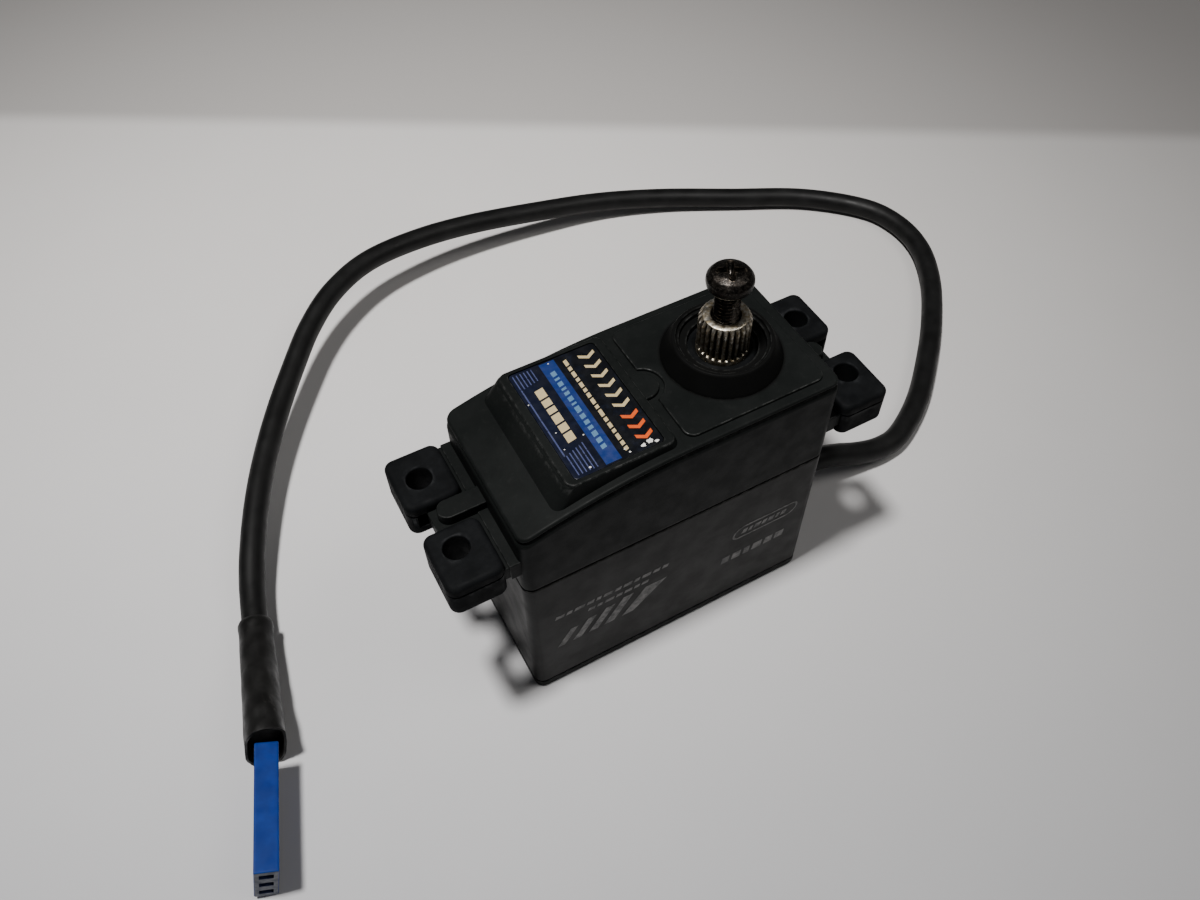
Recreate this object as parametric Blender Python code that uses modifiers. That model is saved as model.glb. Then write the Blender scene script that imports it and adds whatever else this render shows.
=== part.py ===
"""A standard-size digital servo motor, standing on its bottom cover.

Frame: origin at the centre of the bottom face, +X along the case towards the output shaft's end,
+Z up along the output shaft. Sizes below are in millimetres and are turned into metres by MM.
"""

import math

import bmesh
import bpy
from mathutils import Matrix, Vector

MM = 0.001

# ---- driving dimensions, mm ----
CASE_LENGTH = 40.0
CASE_WIDTH = 20.0
CASE_CORNER = 1.3
CASE_WALL = 1.2
INNER_CORNER = 0.4
JOINT_GAP = 0.3

BOTTOM_COVER_TOP = 1.3
MIDDLE_TOP = 24.35
FLOOR_BOTTOM = MIDDLE_TOP + JOINT_GAP
FLOOR_TOP = 26.2
WALL_TOP = 37.0
LID_TOP = 37.75
LID_RIM = 0.5
LID_INSET = 0.12
SLOPE_START = 1.5
SLOPE_DIAMETER = 140.0
OUTPUT_PAD_TOP = 38.1
OUTPUT_PAD_LEFT = 0.7
BAY_RADIUS = 2.5
TAB_RADIUS = 1.9
LABEL_PAD_TOP = 38.6
LABEL_RECESS = (-12.5, -8.1, -1.75, 8.1)
LABEL_GAP = 0.1

MOTOR_X = -9.7
IDLER_X = 0.3
OUTPUT_X = 10.3

EAR_BOTTOM = 28.1
EAR_TOP = 30.1
EAR_HALF_WIDTH = 9.2
HOLE_X = 25.2
HOLE_Y = 5.1
SLOT_X = 22.6
SLOT_HALF_WIDTH = 2.35
GROMMET_BOTTOM = 26.7
GROMMET_TOP = 31.6
GROMMET_INNER_X = 21.6
GROMMET_OUTER_X = 28.15
GROMMET_HOLE_RADIUS = 1.45
RIB_HALF_WIDTH = 1.25
RIB_END_X = 24.0

FINE_MODULE = 0.4
COARSE_MODULE = 0.5
PRESSURE_ANGLE = math.radians(25)
ADDENDUM = 0.8
DEDENDUM = 1.05
TOOTH_THINNING = 0.03
PINION_TEETH = 10
FIRST_TEETH = 40
SECOND_TEETH = 40
SECOND_PINION_TEETH = 12
THIRD_TEETH = 38
OUTPUT_TEETH = 30

SPLINE_TEETH = 25
SPLINE_RADIUS = 2.96
SPLINE_BOTTOM = 39.3
SPLINE_TOP = 44.2

CASE_SCREW_X = 17.3
CASE_SCREW_Y = 7.3

CABLE_DIAMETER = 3.4
CABLE_EXIT_Z = 6.0
GLAND_END_X = 26.0

# The lead's centre line, from the gland to the heat-shrink sleeve. It lies on the surface at first, then
# rises off it in a shallow arch, as a stiff lead does.
LEAD_ROUTE = [
    (26.4, 0.0, 6.0), (29.6, 0.0, 5.75), (33.2, -0.3, 4.6), (37.2, -0.8, 3.1), (41.4, -1.0, 2.1),
    (45.6, -0.1, 1.8), (52.2, 3.8, 1.75), (59.0, 9.7, 1.75), (65.4, 16.2, 1.75), (71.4, 23.8, 1.75),
    (75.0, 31.2, 1.75), (75.5, 38.3, 1.75), (72.9, 44.7, 1.75), (64.9, 52.2, 1.8), (53.6, 58.3, 2.0),
    (42.1, 64.0, 2.5), (31.2, 67.6, 3.4), (19.7, 69.3, 4.7), (7.1, 70.1, 6.4), (-3.3, 69.5, 7.7),
    (-12.5, 67.4, 8.6), (-19.8, 63.4, 8.7), (-25.6, 58.2, 8.1), (-30.7, 51.8, 7.3), (-35.7, 44.7, 6.6),
    (-39.9, 37.7, 6.1), (-43.2, 31.0, 5.7), (-45.8, 24.8, 5.1), (-47.3, 20.6, 4.5), (-48.2, 17.18, 4.22),
    (-48.58, 15.42, 4.25), (-48.81, 14.4, 4.276),
]
SLEEVE_START = Vector((-48.84, 14.25, 4.28))
SLEEVE_MOUTH = Vector((-52.6, -2.9, 4.75))
SLEEVE_WALL = 0.35
CONNECTOR_BACK = Vector((-52.86, -3.72, 4.47))
CONNECTOR_HEADING = Vector((-0.297, -0.955, 0.0))
CONNECTOR_LEAN = math.radians(15)
CONNECTOR_SIZE = (14.8, 2.7, 8.2)

COLOURS = {
    "black_case": ((0.028, 0.029, 0.030), 0.55, 0.0),
    "grey_aluminium": ((0.155, 0.150, 0.145), 0.42, 0.85),
    "rubber": ((0.022, 0.022, 0.023), 0.75, 0.0),
    "label": ((0.020, 0.030, 0.080), 0.35, 0.0),
    "seal": ((0.03, 0.03, 0.03), 0.7, 0.0),
    "steel": ((0.42, 0.41, 0.39), 0.32, 1.0),
    "black_steel": ((0.10, 0.09, 0.085), 0.35, 1.0),
    "bearing_steel": ((0.60, 0.60, 0.60), 0.22, 1.0),
    "brass": ((0.62, 0.45, 0.18), 0.32, 1.0),
    "motor_can": ((0.45, 0.45, 0.46), 0.35, 1.0),
    "aluminium_cap": ((0.62, 0.62, 0.63), 0.4, 1.0),
    "copper": ((0.62, 0.26, 0.12), 0.4, 1.0),
    "magnet": ((0.20, 0.20, 0.21), 0.4, 1.0),
    "circuit_board": ((0.02, 0.16, 0.07), 0.5, 0.0),
    "chip": ((0.015, 0.015, 0.016), 0.45, 0.0),
    "blue_plastic": ((0.012, 0.11, 0.42), 0.4, 0.0),
}


# ---- scene set-up ----
def clear_scene():
    for item in list(bpy.data.objects):
        bpy.data.objects.remove(item, do_unlink=True)


def new_collection(name):
    collection = bpy.data.collections.new(name)
    bpy.context.scene.collection.children.link(collection)
    return collection


clear_scene()
PARTS = new_collection("servo_motor")
TOOLS = new_collection("cutters")


def material(name):
    found = bpy.data.materials.get(name)
    if found:
        return found
    colour, roughness, metallic = COLOURS[name]
    made = bpy.data.materials.new(name)
    made.use_nodes = True
    shader = made.node_tree.nodes["Principled BSDF"]
    shader.inputs["Base Color"].default_value = (*colour, 1.0)
    shader.inputs["Roughness"].default_value = roughness
    shader.inputs["Metallic"].default_value = metallic
    made.diffuse_color = (*colour, 1.0)
    return made


# ---- shape makers: each takes millimetres and returns a mesh object in the cutters collection ----
def wrap(name, mesh):
    item = bpy.data.objects.new(name, mesh)
    TOOLS.objects.link(item)
    item.hide_render = True
    item.display_type = "WIRE"
    return item


def evaluated_mesh(item, name, matrix):
    """The item's mesh as evaluated, welded, facing out and moved by matrix. The item is removed."""
    bpy.context.view_layer.update()
    graph = bpy.context.evaluated_depsgraph_get()
    mesh = bpy.data.meshes.new_from_object(item.evaluated_get(graph))
    work = bmesh.new()
    work.from_mesh(mesh)
    bmesh.ops.remove_doubles(work, verts=work.verts, dist=1e-6)
    bmesh.ops.transform(work, matrix=matrix, verts=work.verts)
    bmesh.ops.recalc_face_normals(work, faces=work.faces)
    work.to_mesh(mesh)
    work.free()
    mesh.name = name
    bpy.data.objects.remove(item, do_unlink=True)
    return mesh


def block(name, low, high):
    low = Vector(low) * MM
    high = Vector(high) * MM
    size = high - low
    work = bmesh.new()
    bmesh.ops.create_cube(work, size=1.0)
    bmesh.ops.transform(
        work,
        matrix=Matrix.Translation((low + high) / 2) @ Matrix.Diagonal((*size, 1.0)),
        verts=work.verts,
    )
    mesh = bpy.data.meshes.new(name)
    work.to_mesh(mesh)
    work.free()
    return wrap(name, mesh)


def prism(name, loops, low, high, upright=True):
    """A flat outline, with any holes, extruded from low to high: along Z, or along Y if not upright."""
    curve = bpy.data.curves.new(name, "CURVE")
    curve.dimensions = "2D"
    curve.fill_mode = "BOTH"
    curve.extrude = (high - low) / 2 * MM
    for loop in loops:
        spline = curve.splines.new("POLY")
        spline.points.add(len(loop) - 1)
        for point, (u, v) in zip(spline.points, loop):
            point.co = (u * MM, v * MM, 0.0, 1.0)
        spline.use_cyclic_u = True
    item = bpy.data.objects.new(name, curve)
    TOOLS.objects.link(item)
    middle = (low + high) / 2 * MM
    if upright:
        matrix = Matrix.Translation((0.0, 0.0, middle))
    else:
        matrix = Matrix.Translation((0.0, middle, 0.0)) @ Matrix.Rotation(math.pi / 2, 4, "X")
    return wrap(name, evaluated_mesh(item, name, matrix))


def turned(name, profile, x=0.0, y=0.0, segments=24, ring=False):
    """A turned piece about the vertical line at x, y. The profile of (radius, z) runs down its outside."""
    mesh = bpy.data.meshes.new(name)
    edges = [(i, i + 1) for i in range(len(profile) - 1)]
    if ring:
        edges.append((len(profile) - 1, 0))
    mesh.from_pydata([(r * MM, 0.0, z * MM) for r, z in profile], edges, [])
    item = bpy.data.objects.new(name, mesh)
    TOOLS.objects.link(item)
    screw = item.modifiers.new("turn", "SCREW")
    screw.steps = segments
    screw.render_steps = segments
    screw.use_merge_vertices = True
    screw.merge_threshold = 0.00001
    moved = Matrix.Translation((x * MM, y * MM, 0.0))
    return wrap(name, evaluated_mesh(item, name, moved))


def rod(name, radius, low, high, x=0.0, y=0.0, segments=24):
    return turned(name, [(0.0, high), (radius, high), (radius, low), (0.0, low)], x, y, segments)


def ring(name, inner, outer, low, high, x=0.0, y=0.0, segments=24):
    profile = [(inner, high), (outer, high), (outer, low), (inner, low)]
    return turned(name, profile, x, y, segments, ring=True)


def change(body, tool, operation="DIFFERENCE"):
    """Cuts, joins or trims a body with a tool, by a Boolean modifier that stays on the body."""
    modifier = body.modifiers.new(tool.name, "BOOLEAN")
    modifier.operation = operation
    modifier.object = tool
    modifier.solver = "EXACT"
    return body


def join(body, tool):
    return change(body, tool, "UNION")


def part(item, look, axis_x=None):
    """Makes a shape one of the servo's parts. A piece that turns gets its origin on its axis."""
    TOOLS.objects.unlink(item)
    PARTS.objects.link(item)
    item.hide_render = False
    item.display_type = "TEXTURED"
    item.data.materials.clear()
    item.data.materials.append(material(look))
    if axis_x is not None:
        item.data.transform(Matrix.Translation((-axis_x * MM, 0.0, 0.0)))
        item.location = (axis_x * MM, 0.0, 0.0)
    item.data.shade_smooth()
    item.data.set_sharp_from_angle(angle=math.radians(30))
    return item


# ---- outlines, mm ----
def arc(cx, cy, radius, start, end, steps):
    angles = [math.radians(start + (end - start) * i / steps) for i in range(steps + 1)]
    return [(cx + radius * math.cos(a), cy + radius * math.sin(a)) for a in angles]


def rounded_rectangle(x0, y0, x1, y1, radius, steps=4):
    r = radius
    return (
        arc(x1 - r, y1 - r, r, 0, 90, steps)
        + arc(x0 + r, y1 - r, r, 90, 180, steps)
        + arc(x0 + r, y0 + r, r, 180, 270, steps)
        + arc(x1 - r, y0 + r, r, 270, 360, steps)
    )


def case_outline(inset=0.0, radius=CASE_CORNER):
    x = CASE_LENGTH / 2 - inset
    y = CASE_WIDTH / 2 - inset
    return rounded_rectangle(-x, -y, x, y, radius)


def slope(x):
    """How far the case's top has dropped at x, along a large arc towards the motor's end."""
    return max(0.0, SLOPE_START - x) ** 2 / SLOPE_DIAMETER


def slope_points(x0, x1, top, steps=8):
    first = [x0 + (SLOPE_START - x0) * i / steps for i in range(steps + 1)]
    return [(x, top - slope(x)) for x in [*first, x1]]


def involute(angle):
    return math.tan(angle) - angle


def gear_outline(teeth, module, cx, first_tooth):
    """A spur gear's outline about (cx, 0), with stub involute teeth and a tooth at first_tooth degrees."""
    pitch = teeth * module / 2
    base = pitch * math.cos(PRESSURE_ANGLE)
    tip = pitch + ADDENDUM * module
    root = pitch - DEDENDUM * module
    half = (math.pi * module / 4 - TOOTH_THINNING) / pitch + involute(PRESSURE_ANGLE)
    flank = [(r, half - involute(math.acos(min(1.0, base / r)))) for r in (max(base, root), tip)]
    if root < base:
        flank.insert(0, (root, flank[0][1]))
    points = []
    for number in range(teeth):
        middle = math.radians(first_tooth) + 2 * math.pi * number / teeth
        for r, a in flank:
            points.append((cx + r * math.cos(middle - a), r * math.sin(middle - a)))
        for r, a in reversed(flank):
            points.append((cx + r * math.cos(middle + a), r * math.sin(middle + a)))
    return points


# ---- case ----
def make_bottom_cover():
    cover = prism("bottom_cover", [case_outline()], 0.0, BOTTOM_COVER_TOP)
    plate = prism("bottom_plate", [case_outline(CASE_WALL + 0.1, 0.8)], BOTTOM_COVER_TOP - 0.3, 1.9)
    join(cover, plate)
    for number, (x, y) in enumerate(screw_places()):
        xs = sorted((x - math.copysign(2.1, x), x + math.copysign(1.35, x)))
        ys = sorted((y - math.copysign(2.1, y), y + math.copysign(1.35, y)))
        join(cover, block(f"screw_seat_{number}", (xs[0], ys[0], 1.5), (xs[1], ys[1], 3.2)))
    for number, (x, y) in enumerate(screw_places()):
        profile = [(0.0, 4.0), (0.95, 4.0), (0.95, 1.75), (1.25, 1.75), (1.25, -1.0), (0.0, -1.0)]
        change(cover, turned(f"screw_counterbore_{number}", profile, x, y, 12))
    part(cover, "black_case")


def make_middle_case():
    inner = case_outline(CASE_WALL, INNER_CORNER)
    low = BOTTOM_COVER_TOP + JOINT_GAP
    case = prism("middle_case", [case_outline(), inner], low, MIDDLE_TOP)
    change(case, block("gland_window", (17.0, -2.7, 3.3), (22.0, 2.7, 8.7)))
    part(case, "grey_aluminium")


def screw_places():
    return [
        (side * CASE_SCREW_X, end * CASE_SCREW_Y) for side in (-1, 1) for end in (-1, 1)
    ]


def ear_outline(side):
    """One ear with its two open slots, seen from above, on the side of +X or -X."""
    wall = CASE_LENGTH / 2 - 0.6
    slot = SLOT_HALF_WIDTH
    outer_end = 27.0
    middle_end = 26.0
    half = [
        (middle_end, 1.2), (middle_end, HOLE_Y - slot), (SLOT_X, HOLE_Y - slot),
        (SLOT_X, HOLE_Y + slot), (outer_end - 0.5, HOLE_Y + slot), (outer_end, HOLE_Y + slot + 0.4),
        (outer_end, EAR_HALF_WIDTH - 0.6), (outer_end - 0.6, EAR_HALF_WIDTH), (wall, EAR_HALF_WIDTH),
    ]
    outline = half + [(x, -y) for x, y in reversed(half)]
    return [(side * x, y) for x, y in outline]


def make_gear_case():
    case = prism("gear_case", [case_outline()], FLOOR_BOTTOM, LABEL_PAD_TOP)
    x = CASE_LENGTH / 2 + 1
    profile = slope_points(-x, x, WALL_TOP) + [(x, 50.0), (-x, 50.0)]
    for side in (-1, 1):
        join(case, prism(f"ear_{side}", [ear_outline(side)], EAR_BOTTOM, EAR_TOP))
        end_arc = arc(RIB_END_X, 0.0, RIB_HALF_WIDTH, -90, 90, 8)
        rib = [(19.4, -RIB_HALF_WIDTH), *end_arc, (19.4, RIB_HALF_WIDTH)]
        rib = [(side * px, py) for px, py in rib]
        join(case, prism(f"ear_rib_{side}", [rib], EAR_TOP - 0.5, GROMMET_TOP - 0.1))
    room = prism("gear_room", [case_outline(CASE_WALL, INNER_CORNER)], FLOOR_TOP, 50.0)
    for number, (px, py) in enumerate(screw_places()):
        change(room, rod(f"pillar_{number}", 1.55, 20.0, 32.0, px, py, 12))
        corner_x = sorted((px, px + math.copysign(3, px)))
        corner_y = sorted((py, py + math.copysign(3, py)))
        low = (corner_x[0], corner_y[0], 20.0)
        change(room, block(f"pillar_corner_{number}", low, (corner_x[1], corner_y[1], 32.0)))
    change(case, room)
    change(case, prism("top_slope", [profile], -15.0, 15.0, upright=False))
    for number, (px, py) in enumerate(screw_places()):
        change(case, rod(f"screw_hole_{number}", 0.95, 20.0, 31.0, px, py, 12))
    change(case, rod("motor_boss_hole", 2.6, 20.0, 27.0, MOTOR_X))
    change(case, rod("lower_bearing_seat", 3.55, 20.0, 27.0, OUTPUT_X))
    change(case, rod("idler_pin_hole", 0.85, 25.0, 27.0, IDLER_X))
    for end in (-1, 1):
        change(case, rod(f"motor_screw_hole_{end}", 0.7, 20.0, 27.0, MOTOR_X, 5.0 * end, 12))
    part(case, "black_case")


def output_pad_outline():
    """The raised pad around the shaft, with a round bay for the tab on the label's side."""
    angle = math.degrees(math.acos(OUTPUT_PAD_LEFT / BAY_RADIUS))
    corners = rounded_rectangle(OUTPUT_PAD_LEFT, -8.7, 18.5, 8.7, 1.2)
    return corners[:10] + arc(0.0, 0.0, BAY_RADIUS, angle, -angle, 8) + corners[10:]


def make_top_cover():
    x = CASE_LENGTH / 2 - LID_INSET
    rim = slope_points(-x, x, LID_TOP)
    under = [(px, pz - LID_RIM) for px, pz in reversed(rim)]
    y = CASE_WIDTH / 2 - LID_INSET
    cover = prism("top_cover", [rim + under], -y, y, upright=False)
    change(cover, prism("lid_corners", [case_outline(LID_INSET, 1.3)], 20.0, 50.0), "INTERSECT")
    x = CASE_LENGTH / 2 - CASE_WALL - 0.15
    y = CASE_WIDTH / 2 - CASE_WALL - 0.15
    inner = slope_points(-x, x, LID_TOP - LID_RIM / 2)
    under = [(px, pz - 1.15) for px, pz in reversed(inner)]
    join(cover, prism("lid_plug", [inner + under], -y, y, upright=False))
    base = [-15.6 + 15.3 * i / 6 for i in range(7)]
    pad = [(px, LID_TOP - 0.3 - slope(px)) for px in base]
    pad += [(-0.6, LABEL_PAD_TOP), (-13.5, LABEL_PAD_TOP)]
    label_pad = prism("label_pad", [pad], -9.0, 9.0, upright=False)
    for side in (-1, 1):
        edge = [(9.2, 34.0), (8.65, LABEL_PAD_TOP + 0.5), (10.5, LABEL_PAD_TOP + 0.5), (10.5, 34.0)]
        side_cut = prism(f"label_pad_side_{side}", [edge], -20.0, 20.0, upright=False)
        side_cut.data.transform(Matrix.Rotation(math.pi / 2 * side, 4, "Z"))
        change(label_pad, side_cut)
    join(cover, label_pad)
    tab = [(-0.8, -TAB_RADIUS), *arc(0.0, 0.0, TAB_RADIUS, -90, 90, 10), (-0.8, TAB_RADIUS)]
    join(cover, prism("round_tab", [tab], LID_TOP - 0.3, OUTPUT_PAD_TOP + 0.1))
    join(cover, prism("output_pad", [output_pad_outline()], LID_TOP - 0.3, OUTPUT_PAD_TOP))
    boss = [(0.0, 40.5), (5.55, 40.5), (5.85, 40.2), (6.9, 38.15), (6.9, 36.2), (0.0, 36.2)]
    join(cover, turned("shaft_boss", boss, OUTPUT_X, 0.0, 32))
    bore = [
        (0.0, 41.0), (4.9, 41.0), (4.9, 39.9), (4.0, 39.9), (4.0, 38.65),
        (4.75, 38.65), (4.75, 35.0), (0.0, 35.0),
    ]
    change(cover, turned("shaft_bore", bore, OUTPUT_X, 0.0, 32))
    recess = rounded_rectangle(*LABEL_RECESS, 0.5, 3)
    change(cover, prism("label_recess", [recess], LABEL_PAD_TOP - 0.3, 50.0))
    change(cover, rod("idler_pin_socket", 0.85, 35.0, 37.0, IDLER_X, 0.0, 16))
    part(cover, "black_case")
    x0, y0, x1, y1 = LABEL_RECESS
    outline = rounded_rectangle(x0 + LABEL_GAP, y0 + LABEL_GAP, x1 - LABEL_GAP, y1 - LABEL_GAP, 0.45, 3)
    label = prism("label_plate", [outline], LABEL_PAD_TOP - 0.25, LABEL_PAD_TOP - 0.07)
    part(label, "label")


def make_seals():
    """Thin flat gaskets that fill the joints below and above the middle case, set back from the outside."""
    for name, low in (("lower_seal", BOTTOM_COVER_TOP), ("upper_seal", MIDDLE_TOP)):
        loops = [case_outline(0.3, 1.0), case_outline(CASE_WALL - 0.05, 0.6)]
        part(prism(name, loops, low + 0.05, low + JOINT_GAP - 0.05), "seal")


def make_case_screws():
    names = ("case_screw_rear_right", "case_screw_rear_left", "case_screw_front_right",
             "case_screw_front_left")
    for name, (x, y) in zip(names, screw_places()):
        profile = [
            (0.0, 30.6), (0.8, 30.2), (0.8, 1.65), (1.15, 1.65), (1.15, 0.75), (1.0, 0.45), (0.0, 0.45),
        ]
        screw = turned(name, profile, x, y, 12)
        change(screw, block(f"{name}_slot_a", (x - 0.7, y - 0.15, 0.0), (x + 0.7, y + 0.15, 0.9)))
        change(screw, block(f"{name}_slot_b", (x - 0.15, y - 0.7, 0.0), (x + 0.15, y + 0.7, 0.9)))
        part(screw, "black_steel")


def make_grommets():
    """Rubber blocks pushed into the ears' slots. The pair on -Y sits a little further out."""
    names = {(-1, -1): "grommet_rear_right", (-1, 1): "grommet_rear_left",
             (1, -1): "grommet_front_right", (1, 1): "grommet_front_left"}
    low = EAR_BOTTOM - 0.15
    high = EAR_TOP + 0.15
    for (side, end), name in names.items():
        inside, outside = (1.45, 9.15) if end > 0 else (2.05, 9.9)
        xs = sorted((side * GROMMET_INNER_X, side * GROMMET_OUTER_X))
        ys = sorted((end * inside, end * outside))
        outline = rounded_rectangle(xs[0], ys[0], xs[1], ys[1], 1.0, 4)
        rubber = prism(name, [outline], GROMMET_BOTTOM, GROMMET_TOP)
        slot_x = sorted((side * 21.0, side * (GROMMET_OUTER_X - 1.0)))
        slot_y = sorted((end * 1.0, end * 9.3))
        slot = block(f"{name}_slot", (slot_x[0], slot_y[0], low), (slot_x[1], slot_y[1], high))
        neck_x = sorted((side * (SLOT_X + 0.2), side * 28.0))
        neck = SLOT_HALF_WIDTH - 0.15
        neck_y = (end * HOLE_Y - neck, end * HOLE_Y + neck)
        neck = block(f"{name}_neck", (neck_x[0], neck_y[0], low - 1), (neck_x[1], neck_y[1], high + 1))
        change(slot, neck)
        change(rubber, slot)
        change(rubber, rod(f"{name}_hole", GROMMET_HOLE_RADIUS, 20.0, 40.0, side * HOLE_X, end * HOLE_Y, 20))
        part(rubber, "rubber")


# ---- gear train ----
def make_output_shaft():
    profile = [
        (0.0, 40.4), (1.6, 40.4), (1.6, SPLINE_TOP - 0.35), (1.9, SPLINE_TOP), (2.5, SPLINE_TOP),
        (2.6, SPLINE_TOP - 0.3), (2.6, SPLINE_BOTTOM), (3.0, SPLINE_BOTTOM - 0.1), (3.0, 34.6),
        (2.6, 34.6), (2.6, 32.4), (1.2, 32.4), (1.2, 24.0), (0.75, 24.0), (0.75, 25.8), (0.0, 25.8),
    ]
    shaft = turned("output_shaft", profile, OUTPUT_X, 0.0, 24)
    spline = []
    for number in range(SPLINE_TEETH):
        middle = 2 * math.pi * number / SPLINE_TEETH
        for offset, radius in ((-0.30, 2.64), (-0.10, SPLINE_RADIUS), (0.10, SPLINE_RADIUS), (0.30, 2.64)):
            angle = middle + offset * 2 * math.pi / SPLINE_TEETH
            spline.append((OUTPUT_X + radius * math.cos(angle), radius * math.sin(angle)))
    bore = arc(OUTPUT_X, 0.0, 2.2, 0, 345, 23)
    join(shaft, prism("spline_teeth", [spline, bore], SPLINE_BOTTOM + 0.1, SPLINE_TOP - 0.25))
    gap = 180 + 180 / OUTPUT_TEETH
    wheel = gear_outline(OUTPUT_TEETH, COARSE_MODULE, OUTPUT_X, gap)
    bore = arc(OUTPUT_X, 0.0, 2.0, 0, 345, 23)
    join(shaft, prism("output_gear", [wheel, bore], 32.5, 34.8))
    part(shaft, "steel", OUTPUT_X)


def compound_gear(name, x, wheel, wheel_span, pinion, pinion_span, bore):
    gear = prism(name, [wheel], *wheel_span)
    join(gear, prism(f"{name}_pinion", [pinion], *pinion_span))
    change(gear, rod(f"{name}_bore", bore, 20.0, 40.0, x, 0.0, 24))
    return gear


def make_gear_train():
    fine = FINE_MODULE
    first = compound_gear(
        "first_gear", IDLER_X,
        gear_outline(FIRST_TEETH, fine, IDLER_X, 180 + 180 / FIRST_TEETH), (27.1, 28.4),
        gear_outline(PINION_TEETH, fine, IDLER_X, 0), (28.3, 30.2), 0.82,
    )
    part(first, "steel", IDLER_X)
    second = compound_gear(
        "second_gear", OUTPUT_X,
        gear_outline(SECOND_TEETH, fine, OUTPUT_X, 180 + 180 / SECOND_TEETH), (28.7, 30.0),
        gear_outline(SECOND_PINION_TEETH, fine, OUTPUT_X, 180), (29.9, 31.95), 1.27,
    )
    part(second, "steel", OUTPUT_X)
    third = compound_gear(
        "third_gear", IDLER_X,
        gear_outline(THIRD_TEETH, fine, IDLER_X, 180 / THIRD_TEETH), (30.5, 31.8),
        gear_outline(PINION_TEETH, COARSE_MODULE, IDLER_X, 0), (31.7, 35.0), 0.82,
    )
    part(third, "steel", IDLER_X)
    pinion = prism(
        "motor_pinion",
        [gear_outline(PINION_TEETH, fine, MOTOR_X, 0), arc(MOTOR_X, 0.0, 0.85, 0, 337.5, 15)],
        26.9, 28.6,
    )
    part(pinion, "brass", MOTOR_X)
    part(rod("gear_pin", 0.75, 25.1, 36.7, IDLER_X, 0.0, 16), "bearing_steel")
    part(ring("gear_spacer", 1.27, 1.58, 26.75, 28.4, OUTPUT_X, 0.0, 20), "brass")


def make_bearings():
    """Two ball bearings carry the output shaft: a large one in the boss, a small one in the floor."""
    part(ring("upper_bearing_outer_race", 4.0, 4.65, 35.95, 38.4, OUTPUT_X), "bearing_steel")
    part(ring("upper_bearing_inner_race", 3.05, 3.6, 35.95, 38.4, OUTPUT_X), "bearing_steel", OUTPUT_X)
    part(ring("lower_bearing_outer_race", 2.75, 3.45, 24.8, 26.3, OUTPUT_X), "bearing_steel")
    part(ring("lower_bearing_inner_race", 1.27, 2.1, 24.8, 26.3, OUTPUT_X), "bearing_steel", OUTPUT_X)
    seal = [(3.45, 39.4), (3.9, 39.1), (3.45, 38.8), (3.08, 39.1)]
    part(turned("shaft_seal", seal, OUTPUT_X, 0.0, 20, ring=True), "rubber")


def make_horn_screw():
    profile = [
        (0.0, 50.5), (1.3, 50.42), (2.1, 50.08), (2.54, 49.5), (2.6, 49.1), (2.5, 48.5),
        (2.2, 48.15), (1.4, 48.1), (1.4, 41.0), (1.1, 40.7), (0.0, 40.7),
    ]
    screw = turned("horn_screw", profile, OUTPUT_X, 0.0, 20)
    for number in range(2):
        slot = block(f"cross_recess_{number}", (-1.5, -0.28, 48.9), (1.5, 0.28, 51.0))
        turn = Matrix.Rotation(math.radians(62 + 90 * number), 4, "Z")
        slot.data.transform(Matrix.Translation((OUTPUT_X * MM, 0.0, 0.0)) @ turn)
        change(screw, slot)
    part(screw, "black_steel", OUTPUT_X)


# ---- motor ----
def make_motor():
    can = [
        (2.4, 24.4), (7.4, 24.4), (7.4, 5.0), (6.95, 5.0), (6.95, 23.4), (2.4, 23.4),
    ]
    shell = turned("motor_can", can, MOTOR_X, 0.0, 24, ring=True)
    for end in (-1, 1):
        change(shell, rod(f"can_thread_{end}", 0.7, 23.0, 25.0, MOTOR_X, 5.0 * end, 12))
    part(shell, "motor_can")
    part(ring("motor_end_cap", 2.4, 6.8, 5.05, 6.6, MOTOR_X, 0.0, 24), "aluminium_cap")
    part(ring("stator_winding", 4.5, 6.7, 8.2, 22.2, MOTOR_X), "copper")
    part(ring("rotor_magnet", 0.85, 4.1, 8.8, 21.4, MOTOR_X), "magnet", MOTOR_X)
    part(rod("motor_shaft", 0.8, 5.2, 28.9, MOTOR_X, 0.0, 16), "bearing_steel", MOTOR_X)
    part(ring("motor_upper_bearing", 0.87, 2.3, 23.3, 24.3, MOTOR_X, 0.0, 20), "bearing_steel")
    part(ring("motor_lower_bearing", 0.87, 2.3, 5.3, 6.3, MOTOR_X, 0.0, 20), "bearing_steel")
    for end, name in ((-1, "motor_screw_right"), (1, "motor_screw_left")):
        profile = [(0.0, 26.8), (1.0, 26.75), (1.15, 26.3), (0.55, 26.3), (0.55, 23.6), (0.0, 23.6)]
        part(turned(name, profile, MOTOR_X, 5.0 * end, 12), "black_steel")


# ---- electronics ----
def make_electronics():
    board = prism("control_board", [rounded_rectangle(-14.6, -8.0, 14.6, 8.0, 0.6, 2)], 2.4, 3.2)
    part(board, "circuit_board")
    part(block("controller_chip", (-1.0, -3.0, 3.25), (5.0, 3.0, 4.25)), "chip")
    for number, y in enumerate((-5.4, 0.0, 5.4)):
        low = (8.0, y - 1.9, 3.25)
        part(block(f"power_transistor_{number + 1}", low, (11.6, y + 1.9, 4.35)), "chip")
    part(rod("capacitor", 1.9, 3.3, 8.6, 2.0, 6.0, 20), "motor_can")
    body = [(0.0, 16.0), (0.8, 16.0), (0.8, 22.6), (2.2, 22.6), (2.2, 21.6), (5.0, 21.6),
            (5.0, 14.6), (0.0, 14.6)]
    sensor = turned("position_sensor", body, OUTPUT_X, 0.0, 24)
    part(sensor, "chip")
    part(rod("sensor_shaft", 0.65, 16.3, 25.5, OUTPUT_X, 0.0, 12), "bearing_steel", OUTPUT_X)


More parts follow.
